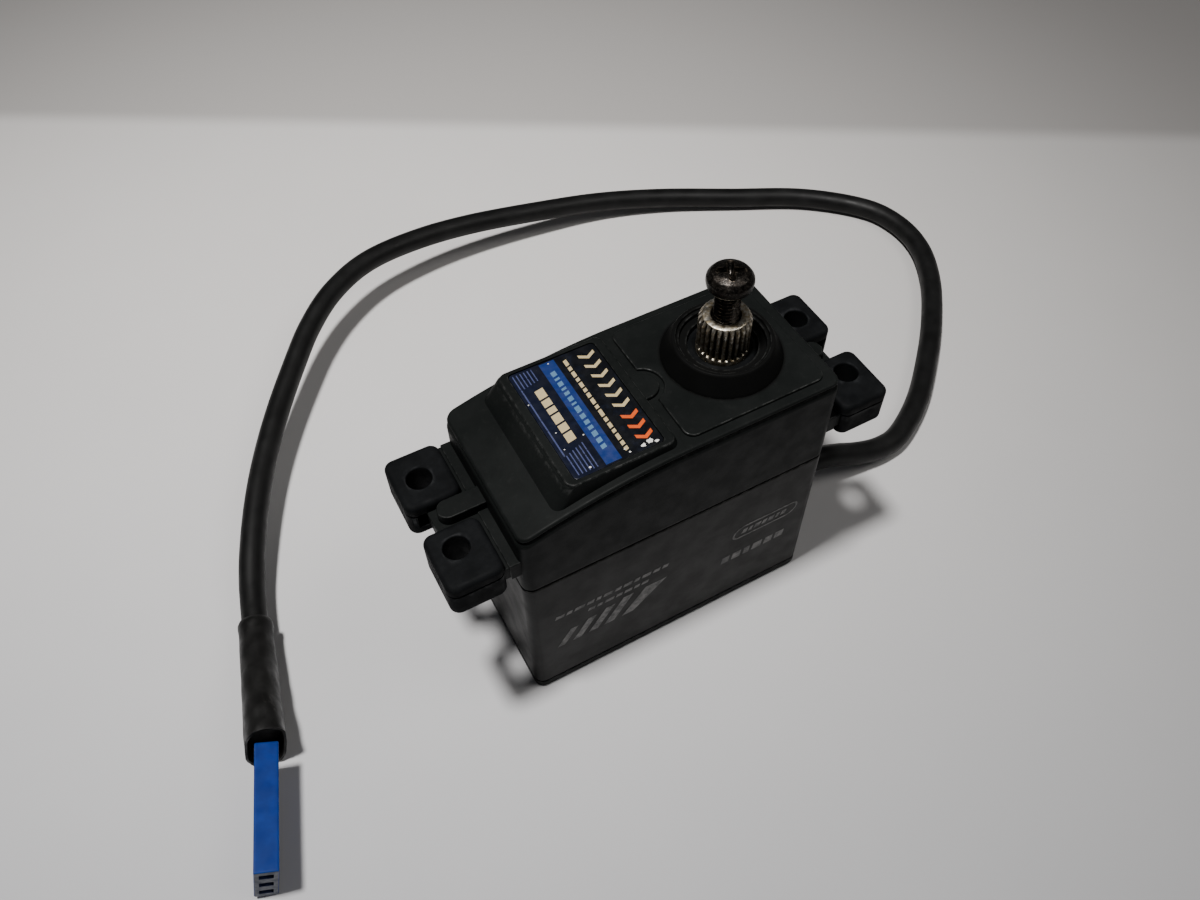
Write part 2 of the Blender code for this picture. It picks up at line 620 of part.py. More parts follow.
# ---- lead ----
def smooth_route(points, spacing):
    """Points along a smooth curve through the given points, about spacing apart."""
    points = [Vector(p) for p in points]
    ends = [2 * points[0] - points[1], *points, 2 * points[-1] - points[-2]]
    fine = []
    for i in range(1, len(ends) - 2):
        a, b, c, d = ends[i - 1 : i + 3]
        for step in range(12):
            t = step / 12
            fine.append(
                0.5 * (2 * b + (c - a) * t + (2 * a - 5 * b + 4 * c - d) * t * t
                       + (3 * b - a - 3 * c + d) * t * t * t)
            )
    fine.append(points[-1])
    lengths = [0.0]
    for a, b in zip(fine, fine[1:]):
        lengths.append(lengths[-1] + (b - a).length)
    count = round(lengths[-1] / spacing)
    route = []
    at = 0
    for i in range(count + 1):
        wanted = lengths[-1] * i / count
        while at < len(fine) - 2 and lengths[at + 1] < wanted:
            at += 1
        share = (wanted - lengths[at]) / (lengths[at + 1] - lengths[at])
        route.append(fine[at].lerp(fine[at + 1], share))
    return route


def tube(name, route, radius):
    curve = bpy.data.curves.new(name, "CURVE")
    curve.dimensions = "3D"
    curve.bevel_depth = radius * MM
    curve.bevel_resolution = 2
    curve.use_fill_caps = True
    spline = curve.splines.new("POLY")
    spline.points.add(len(route) - 1)
    for point, place in zip(spline.points, route):
        point.co = (*(place * MM), 1.0)
    item = bpy.data.objects.new(name, curve)
    TOOLS.objects.link(item)
    return wrap(name, evaluated_mesh(item, name, Matrix.Identity(4)))


def make_gland():
    z = CABLE_EXIT_Z
    gland = block("cable_gland", (18.3, -2.4, z - 2.4), (20.3, 2.4, z + 2.4))
    join(gland, block("gland_flange", (17.4, -3.3, z - 2.9), (18.5, 3.3, z + 3.1)))
    nose = [(0.0, GLAND_END_X), (2.15, GLAND_END_X), (2.75, 20.1), (0.0, 20.1)]
    lay = Matrix.Translation((0.0, 0.0, z * MM)) @ Matrix.Rotation(math.pi / 2, 4, "Y")
    cone = turned("gland_nose", nose)
    cone.data.transform(lay)
    join(gland, cone)
    part(gland, "rubber")


def make_lead():
    route = smooth_route(LEAD_ROUTE, 2.3 * CABLE_DIAMETER)
    part(tube("lead_cable", route, CABLE_DIAMETER / 2), "rubber")


def oval(half_width, half_height, power, count=16):
    """A ring of points between an ellipse (power 2) and a rounded rectangle (power 4)."""
    points = []
    for i in range(count):
        angle = 2 * math.pi * (i + 0.5) / count
        c = math.cos(angle)
        s = math.sin(angle)
        x = half_width * math.copysign(abs(c) ** (2 / power), c)
        y = half_height * math.copysign(abs(s) ** (2 / power), s)
        points.append((x, y))
    return points


def loft(name, rings):
    """A closed skin through rings of equally many points, with its first and last ring filled."""
    work = bmesh.new()
    rows = [[work.verts.new(point * MM) for point in row] for row in rings]
    for near, far in zip(rows, rows[1:]):
        for i in range(len(near)):
            j = (i + 1) % len(near)
            work.faces.new((near[i], near[j], far[j], far[i]))
    work.faces.new(rows[0])
    work.faces.new(rows[-1])
    bmesh.ops.recalc_face_normals(work, faces=work.faces)
    mesh = bpy.data.meshes.new(name)
    work.to_mesh(mesh)
    work.free()
    return wrap(name, mesh)


def make_sleeve():
    """Heat-shrink tube: round on the cable, flared to a tall open mouth behind the connector."""
    along = SLEEVE_MOUTH - SLEEVE_START
    forward = along.normalized()
    side = Vector((0.0, 0.0, 1.0)).cross(forward).normalized()
    up = forward.cross(side)
    shape = [(0.0, 2.1, 2.1, 2.0), (0.3, 2.2, 2.6, 2.1), (0.6, 2.3, 3.7, 2.4),
             (0.85, 2.4, 4.5, 2.8), (1.0, 2.45, 4.7, 3.0)]
    inside = [(1.0, 2.45, 4.7, 3.0), (0.86, 2.4, 4.5, 2.8)]
    rings = []
    for number, (share, half_width, half_height, power) in enumerate(shape + inside):
        wall = SLEEVE_WALL if number >= len(shape) else 0.0
        lean = -CONNECTOR_LEAN * share
        across = side * math.cos(lean) + up * math.sin(lean)
        upright = up * math.cos(lean) - side * math.sin(lean)
        centre = SLEEVE_START + along * share
        section = oval(half_width - wall, half_height - wall, power)
        rings.append([centre + across * u + upright * v for u, v in section])
    part(loft("heat_shrink_sleeve", rings), "rubber")


def make_connector():
    length, width, height = CONNECTOR_SIZE
    heading = CONNECTOR_HEADING.normalized()
    turn = Matrix.Rotation(math.atan2(heading.y, heading.x), 4, "Z")
    lean = Matrix.Rotation(-CONNECTOR_LEAN, 4, "X")
    place = Matrix.Translation(CONNECTOR_BACK * MM) @ turn @ lean
    housing = block("connector_housing", (0.0, -width / 2, -height / 2), (length, width / 2, height / 2))
    housing.data.transform(place)
    for number in range(3):
        z = (number - 1) * 2.54
        low = (length - 9.0, -0.75, z - 0.75)
        socket = block(f"socket_{number}", low, (length + 1, 0.75, z + 0.75))
        socket.data.transform(place)
        change(housing, socket)
        low = (length - 8.6, -0.45, z - 0.45)
        contact = block(f"contact_{number + 1}", low, (length - 0.8, 0.45, z + 0.45))
        contact.data.transform(place)
        part(contact, "brass")
    part(housing, "blue_plastic")


def group_under_axles():
    """Each turning group hangs from an empty on its axle, so it turns as one."""
    groups = {
        "output_axle": (OUTPUT_X, ["output_shaft", "horn_screw", "upper_bearing_inner_race",
                                   "lower_bearing_inner_race", "sensor_shaft"]),
        "motor_axle": (MOTOR_X, ["motor_shaft", "rotor_magnet", "motor_pinion"]),
    }
    for name, (x, members) in groups.items():
        axle = bpy.data.objects.new(name, None)
        axle.empty_display_size = 0.005
        axle.location = (x * MM, 0.0, 0.0)
        PARTS.objects.link(axle)
        for member in members:
            child = bpy.data.objects[member]
            child.location = (0.0, 0.0, 0.0)
            child.parent = axle


make_bottom_cover()
make_middle_case()
make_gear_case()
make_top_cover()
make_seals()
make_case_screws()
make_grommets()
make_output_shaft()
make_gear_train()
make_bearings()
make_horn_screw()
make_motor()
make_electronics()
make_gland()
make_lead()
make_sleeve()
make_connector()
group_under_axles()
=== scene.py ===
"""Looks of a standard-size servo motor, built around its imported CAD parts.

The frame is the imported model's: origin at the centre of the bottom face, +X towards the output shaft's
end, +Z up. Shapes below are drawn in millimetres and turned into metres by MM when each piece is done.
"""

import math
import random

import bmesh
import bpy
from mathutils import Matrix, Vector, noise


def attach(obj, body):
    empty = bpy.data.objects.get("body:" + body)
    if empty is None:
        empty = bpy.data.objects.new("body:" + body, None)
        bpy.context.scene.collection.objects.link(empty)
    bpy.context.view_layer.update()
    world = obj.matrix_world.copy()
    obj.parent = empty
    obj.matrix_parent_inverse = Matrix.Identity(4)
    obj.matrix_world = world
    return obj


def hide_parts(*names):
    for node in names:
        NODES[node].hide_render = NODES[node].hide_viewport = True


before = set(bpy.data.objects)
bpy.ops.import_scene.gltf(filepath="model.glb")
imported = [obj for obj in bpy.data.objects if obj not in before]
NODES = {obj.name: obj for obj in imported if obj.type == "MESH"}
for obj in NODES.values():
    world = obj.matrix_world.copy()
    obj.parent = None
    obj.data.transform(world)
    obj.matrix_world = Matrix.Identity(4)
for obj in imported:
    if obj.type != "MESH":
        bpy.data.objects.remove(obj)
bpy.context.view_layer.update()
MM = 0.001
random.seed(7)

# ---- sizes shared with the CAD part, mm ----
CASE_X = 20.0
CASE_Y = 10.0
CASE_CORNER = 1.3
BOTTOM_COVER_TOP = 1.3
MIDDLE_LOW = 1.6
MIDDLE_HIGH = 24.35
GEAR_CASE_LOW = 24.65
GEAR_FLOOR_TOP = 26.2
WALL_TOP = 37.0
LID_LOW = 37.25
LID_TOP = 37.75
LID_INSET = 0.12
OUTPUT_PAD_TOP = 38.1
LABEL_PAD_TOP = 38.6
LABEL_FACE = 38.53
EAR_LOW = 28.1
EAR_HIGH = 30.1
HOLE_X = 25.2
HOLE_Y = 5.1
GROMMET_LOW = 26.7
GROMMET_HIGH = 31.6
OUTPUT_X = 10.3
MOTOR_X = -9.7
IDLER_X = 0.3
SPLINE_TEETH = 25
SPLINE_TOP = 44.2
CASE_SCREW_X = 17.3
CASE_SCREW_Y = 7.3
CABLE_DIAMETER = 3.4
CABLE_EXIT_Z = 6.0
GROMMET_INNER_X = 21.6
GROMMET_OUTER_X = 28.15
GROMMET_HOLE_RADIUS = 1.45
RIB_HALF_WIDTH = 1.25
RIB_END_X = 24.0
SLOT_X = 22.6
SLOT_HALF_WIDTH = 2.35
OUTPUT_PAD_LEFT = 0.7
BAY_RADIUS = 2.5
TAB_RADIUS = 1.9
LABEL_RECESS = (-12.5, -8.1, -1.75, 8.1)
LABEL_GAP = 0.1


# ---- camera ----
def make_camera():
    turn = math.radians(27.75)
    pitch = math.radians(52.63)
    roll = math.radians(-1.05)
    forward = Vector((math.cos(pitch) * math.sin(turn), math.cos(pitch) * math.cos(turn), -math.sin(pitch)))
    right = Vector((math.cos(turn), -math.sin(turn), 0.0))
    up = right.cross(forward)
    across = right * math.cos(roll) + up * math.sin(roll)
    upright = up * math.cos(roll) - right * math.sin(roll)
    data = bpy.data.cameras.new("camera")
    data.lens = 30.33
    data.sensor_width = 36.0
    data.clip_start = 0.005
    data.clip_end = 20.0
    camera = bpy.data.objects.new("camera", data)
    turned = Matrix((across, upright, -forward)).transposed().to_4x4()
    camera.matrix_world = Matrix.Translation((-0.03795, -0.06205, 0.12174)) @ turned
    bpy.context.scene.collection.objects.link(camera)
    bpy.context.scene.camera = camera


make_camera()


# ---- material helpers ----
def new_material(name, colour, roughness, metallic=0.0):
    made = bpy.data.materials.new(name)
    made.use_nodes = True
    tree = made.node_tree
    shader = tree.nodes["Principled BSDF"]
    shader.inputs["Base Color"].default_value = (*colour, 1.0)
    shader.inputs["Roughness"].default_value = roughness
    shader.inputs["Metallic"].default_value = metallic
    return made, tree, shader


def add(tree, kind, output, settings=None, **inputs):
    """Adds a node, sets or links its inputs, and returns the named or numbered output."""
    node = tree.nodes.new(kind)
    for key, value in (settings or {}).items():
        setattr(node, key, value)
    for key, value in inputs.items():
        name = key.replace("_", " ")
        socket = node.inputs[int(name[1:])] if name[1:].isdigit() else node.inputs[name]
        if isinstance(value, bpy.types.NodeSocket):
            tree.links.new(value, socket)
        else:
            socket.default_value = value
    return node.outputs[output]


def coordinates(tree, scale=(1.0, 1.0, 1.0)):
    place = add(tree, "ShaderNodeTexCoord", "Object")
    if scale == (1.0, 1.0, 1.0):
        return place
    return add(tree, "ShaderNodeMapping", "Vector", Vector=place, Scale=scale)


def grain(tree, size_mm, detail=3.0, roughness=0.55, stretch=(1.0, 1.0, 1.0), distortion=0.0):
    """Noise from 0 to 1 whose blobs are about size_mm across, in the object's own space."""
    place = coordinates(tree, stretch)
    return add(tree, "ShaderNodeTexNoise", "Fac", Vector=place, Scale=1.0 / (size_mm * MM), Detail=detail,
               Roughness=roughness, Distortion=distortion)


def ramp(tree, value, low, high, to_low=0.0, to_high=1.0):
    """The value from low to high, spread smoothly over to_low to to_high."""
    return add(tree, "ShaderNodeMapRange", "Result", {"interpolation_type": "SMOOTHSTEP"}, Value=value,
               From_Min=low, From_Max=high, To_Min=to_low, To_Max=to_high)


def sums(tree, operation, a, b):
    return add(tree, "ShaderNodeMath", "Value", {"operation": operation}, _0=a, _1=b)


def blend(tree, factor, a, b):
    """A colour between a and b."""
    a = (*a, 1.0) if isinstance(a, tuple) and len(a) == 3 else a
    b = (*b, 1.0) if isinstance(b, tuple) and len(b) == 3 else b
    return add(tree, "ShaderNodeMix", 2, {"data_type": "RGBA"}, _0=factor, _6=a, _7=b)


def edge_mask(tree, low=0.3, high=0.75, patch_mm=0.9):
    """A mask of the outer edges marked in the mesh, broken up by noise: where they are rubbed, and on the
    black plastic also where a highlight is painted.
    """
    marked = add(tree, "ShaderNodeAttribute", "Fac", {"attribute_name": "edge_sharpness"})
    marked = ramp(tree, marked, 0.70, 1.0)
    broken = ramp(tree, grain(tree, patch_mm, 4.0, 0.65), low, high)
    return sums(tree, "MULTIPLY", marked, broken)


def bump(tree, shader, height, distance_mm, strength=1.0, before=None):
    inputs = {"Height": height, "Distance": distance_mm * MM, "Strength": strength}
    if before is not None:
        inputs["Normal"] = before
    normal = add(tree, "ShaderNodeBump", "Normal", **inputs)
    tree.links.new(normal, shader.inputs["Normal"])
    return normal


def drive(tree, shader, name, value):
    tree.links.new(value, shader.inputs[name])


def paint(tree, shader, colour):
    drive(tree, shader, "Base Color", colour)


def patchy_gloss(tree, shader, size_mm, low, high, detail=3.0):
    """Roughness that wanders between low and high, in patches of about size_mm."""
    drive(tree, shader, "Roughness", ramp(tree, grain(tree, size_mm, detail), 0.3, 0.7, low, high))


# ---- materials ----
def moulded_plastic():
    """Fine-grained black nylon, dusty in patches and lighter along its edges, partly rubbed and partly a
    painted highlight.
    """
    made, tree, shader = new_material("moulded_black_plastic", (0.02, 0.02, 0.02), 0.5)
    patches = ramp(tree, grain(tree, 9.0, 5.0, 0.6), 0.35, 0.75)
    dust = ramp(tree, grain(tree, 0.7, 4.0, 0.7), 0.52, 0.8)
    dull = blend(tree, patches, (0.0046, 0.0054, 0.0052), (0.0078, 0.0088, 0.0085))
    dusty = blend(tree, sums(tree, "MULTIPLY", dust, 0.22), dull, (0.020, 0.021, 0.020))
    # the colour is darker within about 7 mm of the output axis, where the boss stands
    axis = add(tree, "ShaderNodeVectorMath", "Vector", {"operation": "MULTIPLY"}, _0=coordinates(tree),
               _1=(1.0, 1.0, 0.0))
    offset = add(tree, "ShaderNodeVectorMath", "Value", {"operation": "DISTANCE"}, _0=axis,
                 _1=(OUTPUT_X * MM, 0.0, 0.0))
    dusty = blend(tree, ramp(tree, offset, 0.0069, 0.0073), (0.0030, 0.0031, 0.0030), dusty)
    edge = edge_mask(tree, 0.38, 0.72)
    # lighter edge colour: partly rubbed, partly a painted highlight along the edges
    paint(tree, shader, blend(tree, sums(tree, "MULTIPLY", edge, 0.6), dusty, (0.030, 0.031, 0.030)))
    rough = ramp(tree, grain(tree, 2.5, 4.0), 0.3, 0.7, 0.42, 0.56)
    drive(tree, shader, "Roughness", sums(tree, "SUBTRACT", rough, sums(tree, "MULTIPLY", edge, 0.12)))
    drive(tree, shader, "Specular IOR Level", ramp(tree, edge, 0.0, 0.8, 0.06, 0.30))
    texture = bump(tree, shader, grain(tree, 0.11, 3.0, 0.6), 0.012, 0.9)
    bump(tree, shader, grain(tree, 1.6, 3.0), 0.02, 0.35, texture)
    return made


def satin_case():
    """Grey anodised case: fine blasted grain, handling marks and brighter rubbed corners."""
    made, tree, shader = new_material("grey_anodised_case", (0.02, 0.02, 0.02), 0.42, 0.12)
    cloud = ramp(tree, grain(tree, 7.0, 5.0, 0.6), 0.3, 0.75)
    base = blend(tree, cloud, (0.0105, 0.0103, 0.0100), (0.0165, 0.0161, 0.0156))
    scratch = ramp(tree, grain(tree, 0.5, 3.0, 0.6, (0.08, 1.0, 1.0)), 0.62, 0.78)
    base = blend(tree, sums(tree, "MULTIPLY", scratch, 0.22), base, (0.04, 0.04, 0.038))
    edge = edge_mask(tree, 0.32, 0.7)
    paint(tree, shader, blend(tree, sums(tree, "MULTIPLY", edge, 0.5), base, (0.055, 0.055, 0.052)))
    patchy_gloss(tree, shader, 3.0, 0.40, 0.52, 4.0)
    drive(tree, shader, "Specular IOR Level", ramp(tree, edge, 0.0, 0.8, 0.07, 0.26))
    bump(tree, shader, grain(tree, 0.09, 2.0, 0.6), 0.008, 0.7)
    return made


def printed_grey():
    """Thin, half rubbed off light-grey print on the case's side."""
    made, tree, shader = new_material("grey_print", (0.12, 0.12, 0.12), 0.5, 0.2)
    rubbed = ramp(tree, grain(tree, 1.3, 4.0, 0.7), 0.38, 0.62)
    paint(tree, shader, blend(tree, rubbed, (0.022, 0.0215, 0.021), (0.110, 0.107, 0.102)))
    patchy_gloss(tree, shader, 1.0, 0.42, 0.6)
    bump(tree, shader, grain(tree, 0.12, 2.0), 0.006, 0.5)
    return made


def soft_rubber():
    """Matt black rubber with a slight bluish tint in patches, a painted sheen, and rubbed corners."""
    made, tree, shader = new_material("grommet_rubber", (0.02, 0.02, 0.021), 0.7)
    sheen_patches = ramp(tree, grain(tree, 2.6, 5.0, 0.65), 0.35, 0.75)
    base = blend(tree, sheen_patches, (0.0034, 0.0037, 0.0041), (0.0066, 0.0071, 0.0078))
    edge = edge_mask(tree, 0.36, 0.74, 1.4)
    paint(tree, shader, blend(tree, sums(tree, "MULTIPLY", edge, 0.35), base, (0.024, 0.026, 0.029)))
    patchy_gloss(tree, shader, 1.5, 0.52, 0.74, 4.0)
    drive(tree, shader, "Specular IOR Level", ramp(tree, edge, 0.0, 0.8, 0.04, 0.16))
    texture = bump(tree, shader, grain(tree, 0.14, 3.0, 0.6), 0.012, 0.8)
    bump(tree, shader, grain(tree, 1.1, 3.0), 0.03, 0.5, texture)
    return made


def cable_jacket():
    """Satin black vinyl with faint extrusion lines and handling marks."""
    made, tree, shader = new_material("cable_jacket", (0.018, 0.018, 0.019), 0.45)
    smudge = ramp(tree, grain(tree, 5.0, 5.0, 0.6), 0.4, 0.75)
    paint(tree, shader, blend(tree, smudge, (0.0040, 0.0040, 0.0040), (0.0080, 0.0080, 0.0080)))
    patchy_gloss(tree, shader, 3.0, 0.40, 0.56, 4.0)
    shader.inputs["Specular IOR Level"].default_value = 0.17
    texture = bump(tree, shader, grain(tree, 0.25, 2.0), 0.008, 0.6)
    bump(tree, shader, grain(tree, 2.2, 3.0), 0.05, 0.5, texture)
    return made


def shrink_tube():
    """Heat-shrink tube: black and waxy, with pale scuffs towards its open mouth."""
    made, tree, shader = new_material("heat_shrink", (0.02, 0.02, 0.02), 0.4)
    scuff = ramp(tree, grain(tree, 0.8, 5.0, 0.75, (1.0, 0.45, 1.0), 0.6), 0.60, 0.78)
    mouth = add(tree, "ShaderNodeAttribute", "Fac", {"attribute_name": "mouth"})
    edge = edge_mask(tree, 0.3, 0.7)
    marks = sums(tree, "MULTIPLY", scuff, sums(tree, "ADD", sums(tree, "MULTIPLY", mouth, 0.7), 0.12))
    base = blend(tree, ramp(tree, grain(tree, 3.0, 4.0), 0.35, 0.7), (0.0045, 0.0044, 0.0043),
                 (0.0090, 0.0088, 0.0086))
    base = blend(tree, marks, base, (0.085, 0.080, 0.074))
    paint(tree, shader, blend(tree, sums(tree, "MULTIPLY", edge, 0.4), base, (0.035, 0.035, 0.035)))
    patchy_gloss(tree, shader, 1.6, 0.34, 0.56, 4.0)
    shader.inputs["Specular IOR Level"].default_value = 0.16
    texture = bump(tree, shader, grain(tree, 0.2, 3.0, 0.6), 0.01, 0.7)
    bump(tree, shader, grain(tree, 1.4, 3.0, 0.5, (1.0, 0.4, 1.0)), 0.06, 0.6, texture)
    return made


def label_film():
    """The label's base: glossy film, navy at the motor's end and near black by the output."""
    made, tree, shader = new_material("label_film", (0.01, 0.013, 0.03), 0.3)
    place = add(tree, "ShaderNodeSeparateXYZ", "X", Vector=coordinates(tree))
    along = ramp(tree, place, -0.0120, -0.0055)
    base = blend(tree, along, (0.0040, 0.0056, 0.0150), (0.0030, 0.0034, 0.0048))
    speck = ramp(tree, grain(tree, 0.35, 3.0, 0.7), 0.70, 0.78)
    faded = ramp(tree, grain(tree, 1.8, 4.0, 0.7), 0.5, 0.8)
    base = blend(tree, sums(tree, "MULTIPLY", faded, 0.35), base, (0.012, 0.018, 0.040))
    paint(tree, shader, blend(tree, sums(tree, "MULTIPLY", speck, 0.35), base, (0.25, 0.24, 0.22)))
    patchy_gloss(tree, shader, 1.2, 0.26, 0.42, 4.0)
    shader.inputs["Specular IOR Level"].default_value = 0.22
    bump(tree, shader, grain(tree, 0.5, 2.0), 0.006, 0.5)
    return made


def label_ink(name, colour, worn, threshold):
    """One printed colour, with flecks rubbed away to the film below."""
    made, tree, shader = new_material(name, colour, 0.38)
    flecks = ramp(tree, grain(tree, 0.28, 4.0, 0.7), threshold, threshold + 0.06)
    shade = blend(tree, grain(tree, 1.5, 3.0), tuple(0.82 * c for c in colour), colour)
    paint(tree, shader, blend(tree, flecks, shade, worn))
    patchy_gloss(tree, shader, 0.8, 0.3, 0.46)
    bump(tree, shader, grain(tree, 0.2, 2.0), 0.004, 0.5)
    return made


def turned_metal(name, bright, dark, roughness, grime=0.5, size_mm=0.6, edge_colour=(0.6, 0.58, 0.54)):
    """Worn machined metal, darker in its pits and brighter on rubbed edges."""
    made, tree, shader = new_material(name, bright, roughness, 1.0)
    pits = ramp(tree, grain(tree, size_mm, 5.0, 0.7), 0.38, 0.72)
    base = blend(tree, sums(tree, "MULTIPLY", pits, grime), bright, dark)
    edge = edge_mask(tree, 0.25, 0.6, 0.5)
    paint(tree, shader, blend(tree, sums(tree, "MULTIPLY", edge, 0.8), base, edge_colour))
    patchy_gloss(tree, shader, size_mm * 1.5, roughness - 0.08, roughness + 0.16, 4.0)
    bump(tree, shader, grain(tree, 0.08, 3.0, 0.7), 0.01, 0.6)
    return made


def spline_steel():
    """The output spline: brassy brown in the grooves, silvery on the crests and the end ring."""
    made, tree, shader = new_material("spline_steel", (0.4, 0.38, 0.34), 0.34, 1.0)
    crest = add(tree, "ShaderNodeAttribute", "Fac", {"attribute_name": "crest"})
    patch = ramp(tree, grain(tree, 0.45, 5.0, 0.7), 0.35, 0.7)
    groove = blend(tree, patch, (0.012, 0.010, 0.006), (0.050, 0.042, 0.024))
    tip = blend(tree, patch, (0.34, 0.27, 0.16), (0.74, 0.71, 0.64))
    paint(tree, shader, blend(tree, crest, groove, tip))
    patchy_gloss(tree, shader, 0.5, 0.26, 0.48, 4.0)
    bump(tree, shader, grain(tree, 0.10, 3.0, 0.7), 0.012, 0.7)
    return made


def burnished_screw():
    """Black oxide screw with pale specks, partly rubbed steel and partly painted glints, and rubbed to brown
    steel on its high spots.
    """
    made, tree, shader = new_material("burnished_screw", (0.04, 0.036, 0.033), 0.36, 0.9)
    specks_and_glints = ramp(tree, grain(tree, 0.16, 4.0, 0.7), 0.52, 0.66)
    base = blend(tree, ramp(tree, grain(tree, 0.8, 4.0), 0.35, 0.7), (0.006, 0.0054, 0.005),
                 (0.022, 0.018, 0.015))
    base = blend(tree, sums(tree, "MULTIPLY", specks_and_glints, 0.45), base, (0.15, 0.135, 0.12))
    edge = edge_mask(tree, 0.34, 0.66, 0.4)
    paint(tree, shader, blend(tree, sums(tree, "MULTIPLY", edge, 0.65), base, (0.24, 0.19, 0.14)))
    patchy_gloss(tree, shader, 0.4, 0.24, 0.44, 4.0)
    bump(tree, shader, grain(tree, 0.13, 3.0, 0.7), 0.02, 0.9)
    return made


def blue_plastic():
    """Bright blue moulded connector, with faint flow marks and rubbed edges."""
    made, tree, shader = new_material("connector_blue", (0.005, 0.09, 0.42), 0.42)
    flow = ramp(tree, grain(tree, 2.2, 4.0, 0.6), 0.35, 0.75)
    base = blend(tree, flow, (0.0001, 0.0145, 0.120), (0.0004, 0.0220, 0.165))
    edge = edge_mask(tree, 0.3, 0.7)
    paint(tree, shader, blend(tree, sums(tree, "MULTIPLY", edge, 0.35), base, (0.012, 0.070, 0.28)))
    patchy_gloss(tree, shader, 1.4, 0.36, 0.52, 4.0)
    shader.inputs["Specular IOR Level"].default_value = 0.15
    texture = bump(tree, shader, grain(tree, 0.12, 3.0, 0.6), 0.008, 0.7)
    bump(tree, shader, grain(tree, 1.5, 2.0), 0.02, 0.4, texture)
    return made


def pale_end():
    """The connector's worn, pale end face."""
    made, tree, shader = new_material("connector_end", (0.22, 0.30, 0.42), 0.5)
    worn = ramp(tree, grain(tree, 0.5, 4.0, 0.7), 0.35, 0.7)
    paint(tree, shader, blend(tree, worn, (0.005, 0.014, 0.040), (0.024, 0.036, 0.070)))
    patchy_gloss(tree, shader, 0.6, 0.4, 0.6)
    bump(tree, shader, grain(tree, 0.12, 3.0), 0.01, 0.7)
    return made


# darker blue for the insides of the sockets and the back pocket: painted shade in these recesses
def socket_shade_blue():
    made, tree, shader = new_material("socket_painted_shade", (0.002, 0.012, 0.07), 0.5)
    paint(tree, shader, blend(tree, grain(tree, 0.5), (0.0015, 0.008, 0.05), (0.004, 0.02, 0.10)))
    bump(tree, shader, grain(tree, 0.15), 0.01, 0.6)
    return made


def winding():
    """Enamelled copper wire, laid in fine turns."""
    made, tree, shader = new_material("copper_winding", (0.55, 0.22, 0.09), 0.35, 1.0)
    turns = add(tree, "ShaderNodeTexWave", "Fac", {"wave_type": "BANDS", "bands_direction": "Z"},
                Vector=coordinates(tree), Scale=450.0, Distortion=2.0, Detail=1.0)
    # the dark and light bands are painted: shade between the turns and a highlight along each, over the
    # turns' bump
    paint(tree, shader, blend(tree, turns, (0.20, 0.06, 0.02), (0.70, 0.30, 0.12)))
    patchy_gloss(tree, shader, 0.8, 0.25, 0.45)
    bump(tree, shader, turns, 0.08, 0.8)
    return made


def circuit_board():
    """Green solder mask with lighter copper tracks under it."""
    made, tree, shader = new_material("circuit_board", (0.01, 0.12, 0.045), 0.35)
    tracks = add(tree, "ShaderNodeTexVoronoi", "Distance",
                 {"feature": "DISTANCE_TO_EDGE", "distance": "EUCLIDEAN"},
                 Vector=coordinates(tree), Scale=420.0)
    line = ramp(tree, tracks, 0.03, 0.07)
    base = blend(tree, grain(tree, 2.0), (0.006, 0.085, 0.030), (0.012, 0.125, 0.045))
    paint(tree, shader, blend(tree, line, (0.05, 0.27, 0.09), base))
    patchy_gloss(tree, shader, 1.0, 0.28, 0.42)
    bump(tree, shader, line, 0.02, 0.5)
    return made


def moulded_chip():
    made, tree, shader = new_material("chip_epoxy", (0.014, 0.014, 0.015), 0.5)
    paint(tree, shader, blend(tree, grain(tree, 0.6, 4.0), (0.009, 0.009, 0.010), (0.024, 0.024, 0.025)))
    patchy_gloss(tree, shader, 0.4, 0.42, 0.62)
    bump(tree, shader, grain(tree, 0.09, 3.0), 0.01, 0.8)
    return made


LOOKS = {
    "plastic": moulded_plastic(),
    "case": satin_case(),
    "print": printed_grey(),
    "rubber": soft_rubber(),
    "jacket": cable_jacket(),
    "shrink": shrink_tube(),
    "film": label_film(),
    "cream": label_ink("ink_cream", (0.50, 0.40, 0.22), (0.02, 0.02, 0.025), 0.66),
    "orange": label_ink("ink_orange", (0.66, 0.085, 0.006), (0.03, 0.012, 0.01), 0.72),
    "blue": label_ink("ink_blue", (0.0055, 0.021, 0.120), (0.008, 0.012, 0.035), 0.68),
    "sky": label_ink("ink_light_blue", (0.085, 0.18, 0.30), (0.012, 0.035, 0.12), 0.62),
    "line": label_ink("ink_thin_lines", (0.050, 0.062, 0.150), (0.01, 0.012, 0.03), 0.56),
    "chip_white": label_ink("bare_backing", (0.80, 0.79, 0.75), (0.45, 0.44, 0.40), 0.70),
    "spline": spline_steel(),
    "screw": burnished_screw(),
    "steel": turned_metal("gear_steel", (0.44, 0.43, 0.41), (0.17, 0.16, 0.15), 0.32),
    "ground": turned_metal("ground_steel", (0.60, 0.60, 0.60), (0.36, 0.36, 0.36), 0.22, 0.4, 1.2,
                           (0.75, 0.75, 0.75)),
    "brass": turned_metal("machined_brass", (0.62, 0.45, 0.18), (0.30, 0.20, 0.07), 0.30, 0.5, 0.8,
                          (0.80, 0.64, 0.34)),
    "can": turned_metal("motor_can_metal", (0.45, 0.45, 0.46), (0.26, 0.26, 0.27), 0.34, 0.5, 2.0),
    "aluminium": turned_metal("turned_aluminium", (0.62, 0.62, 0.63), (0.40, 0.40, 0.41), 0.36, 0.5, 1.5),
    "magnet": turned_metal("sintered_magnet", (0.20, 0.20, 0.21), (0.10, 0.10, 0.10), 0.42, 0.6, 0.5),
    "winding": winding(),
    "board": circuit_board(),
    "chip": moulded_chip(),
    "connector": blue_plastic(),
    "end_face": pale_end(),
    "socket": socket_shade_blue(),
}


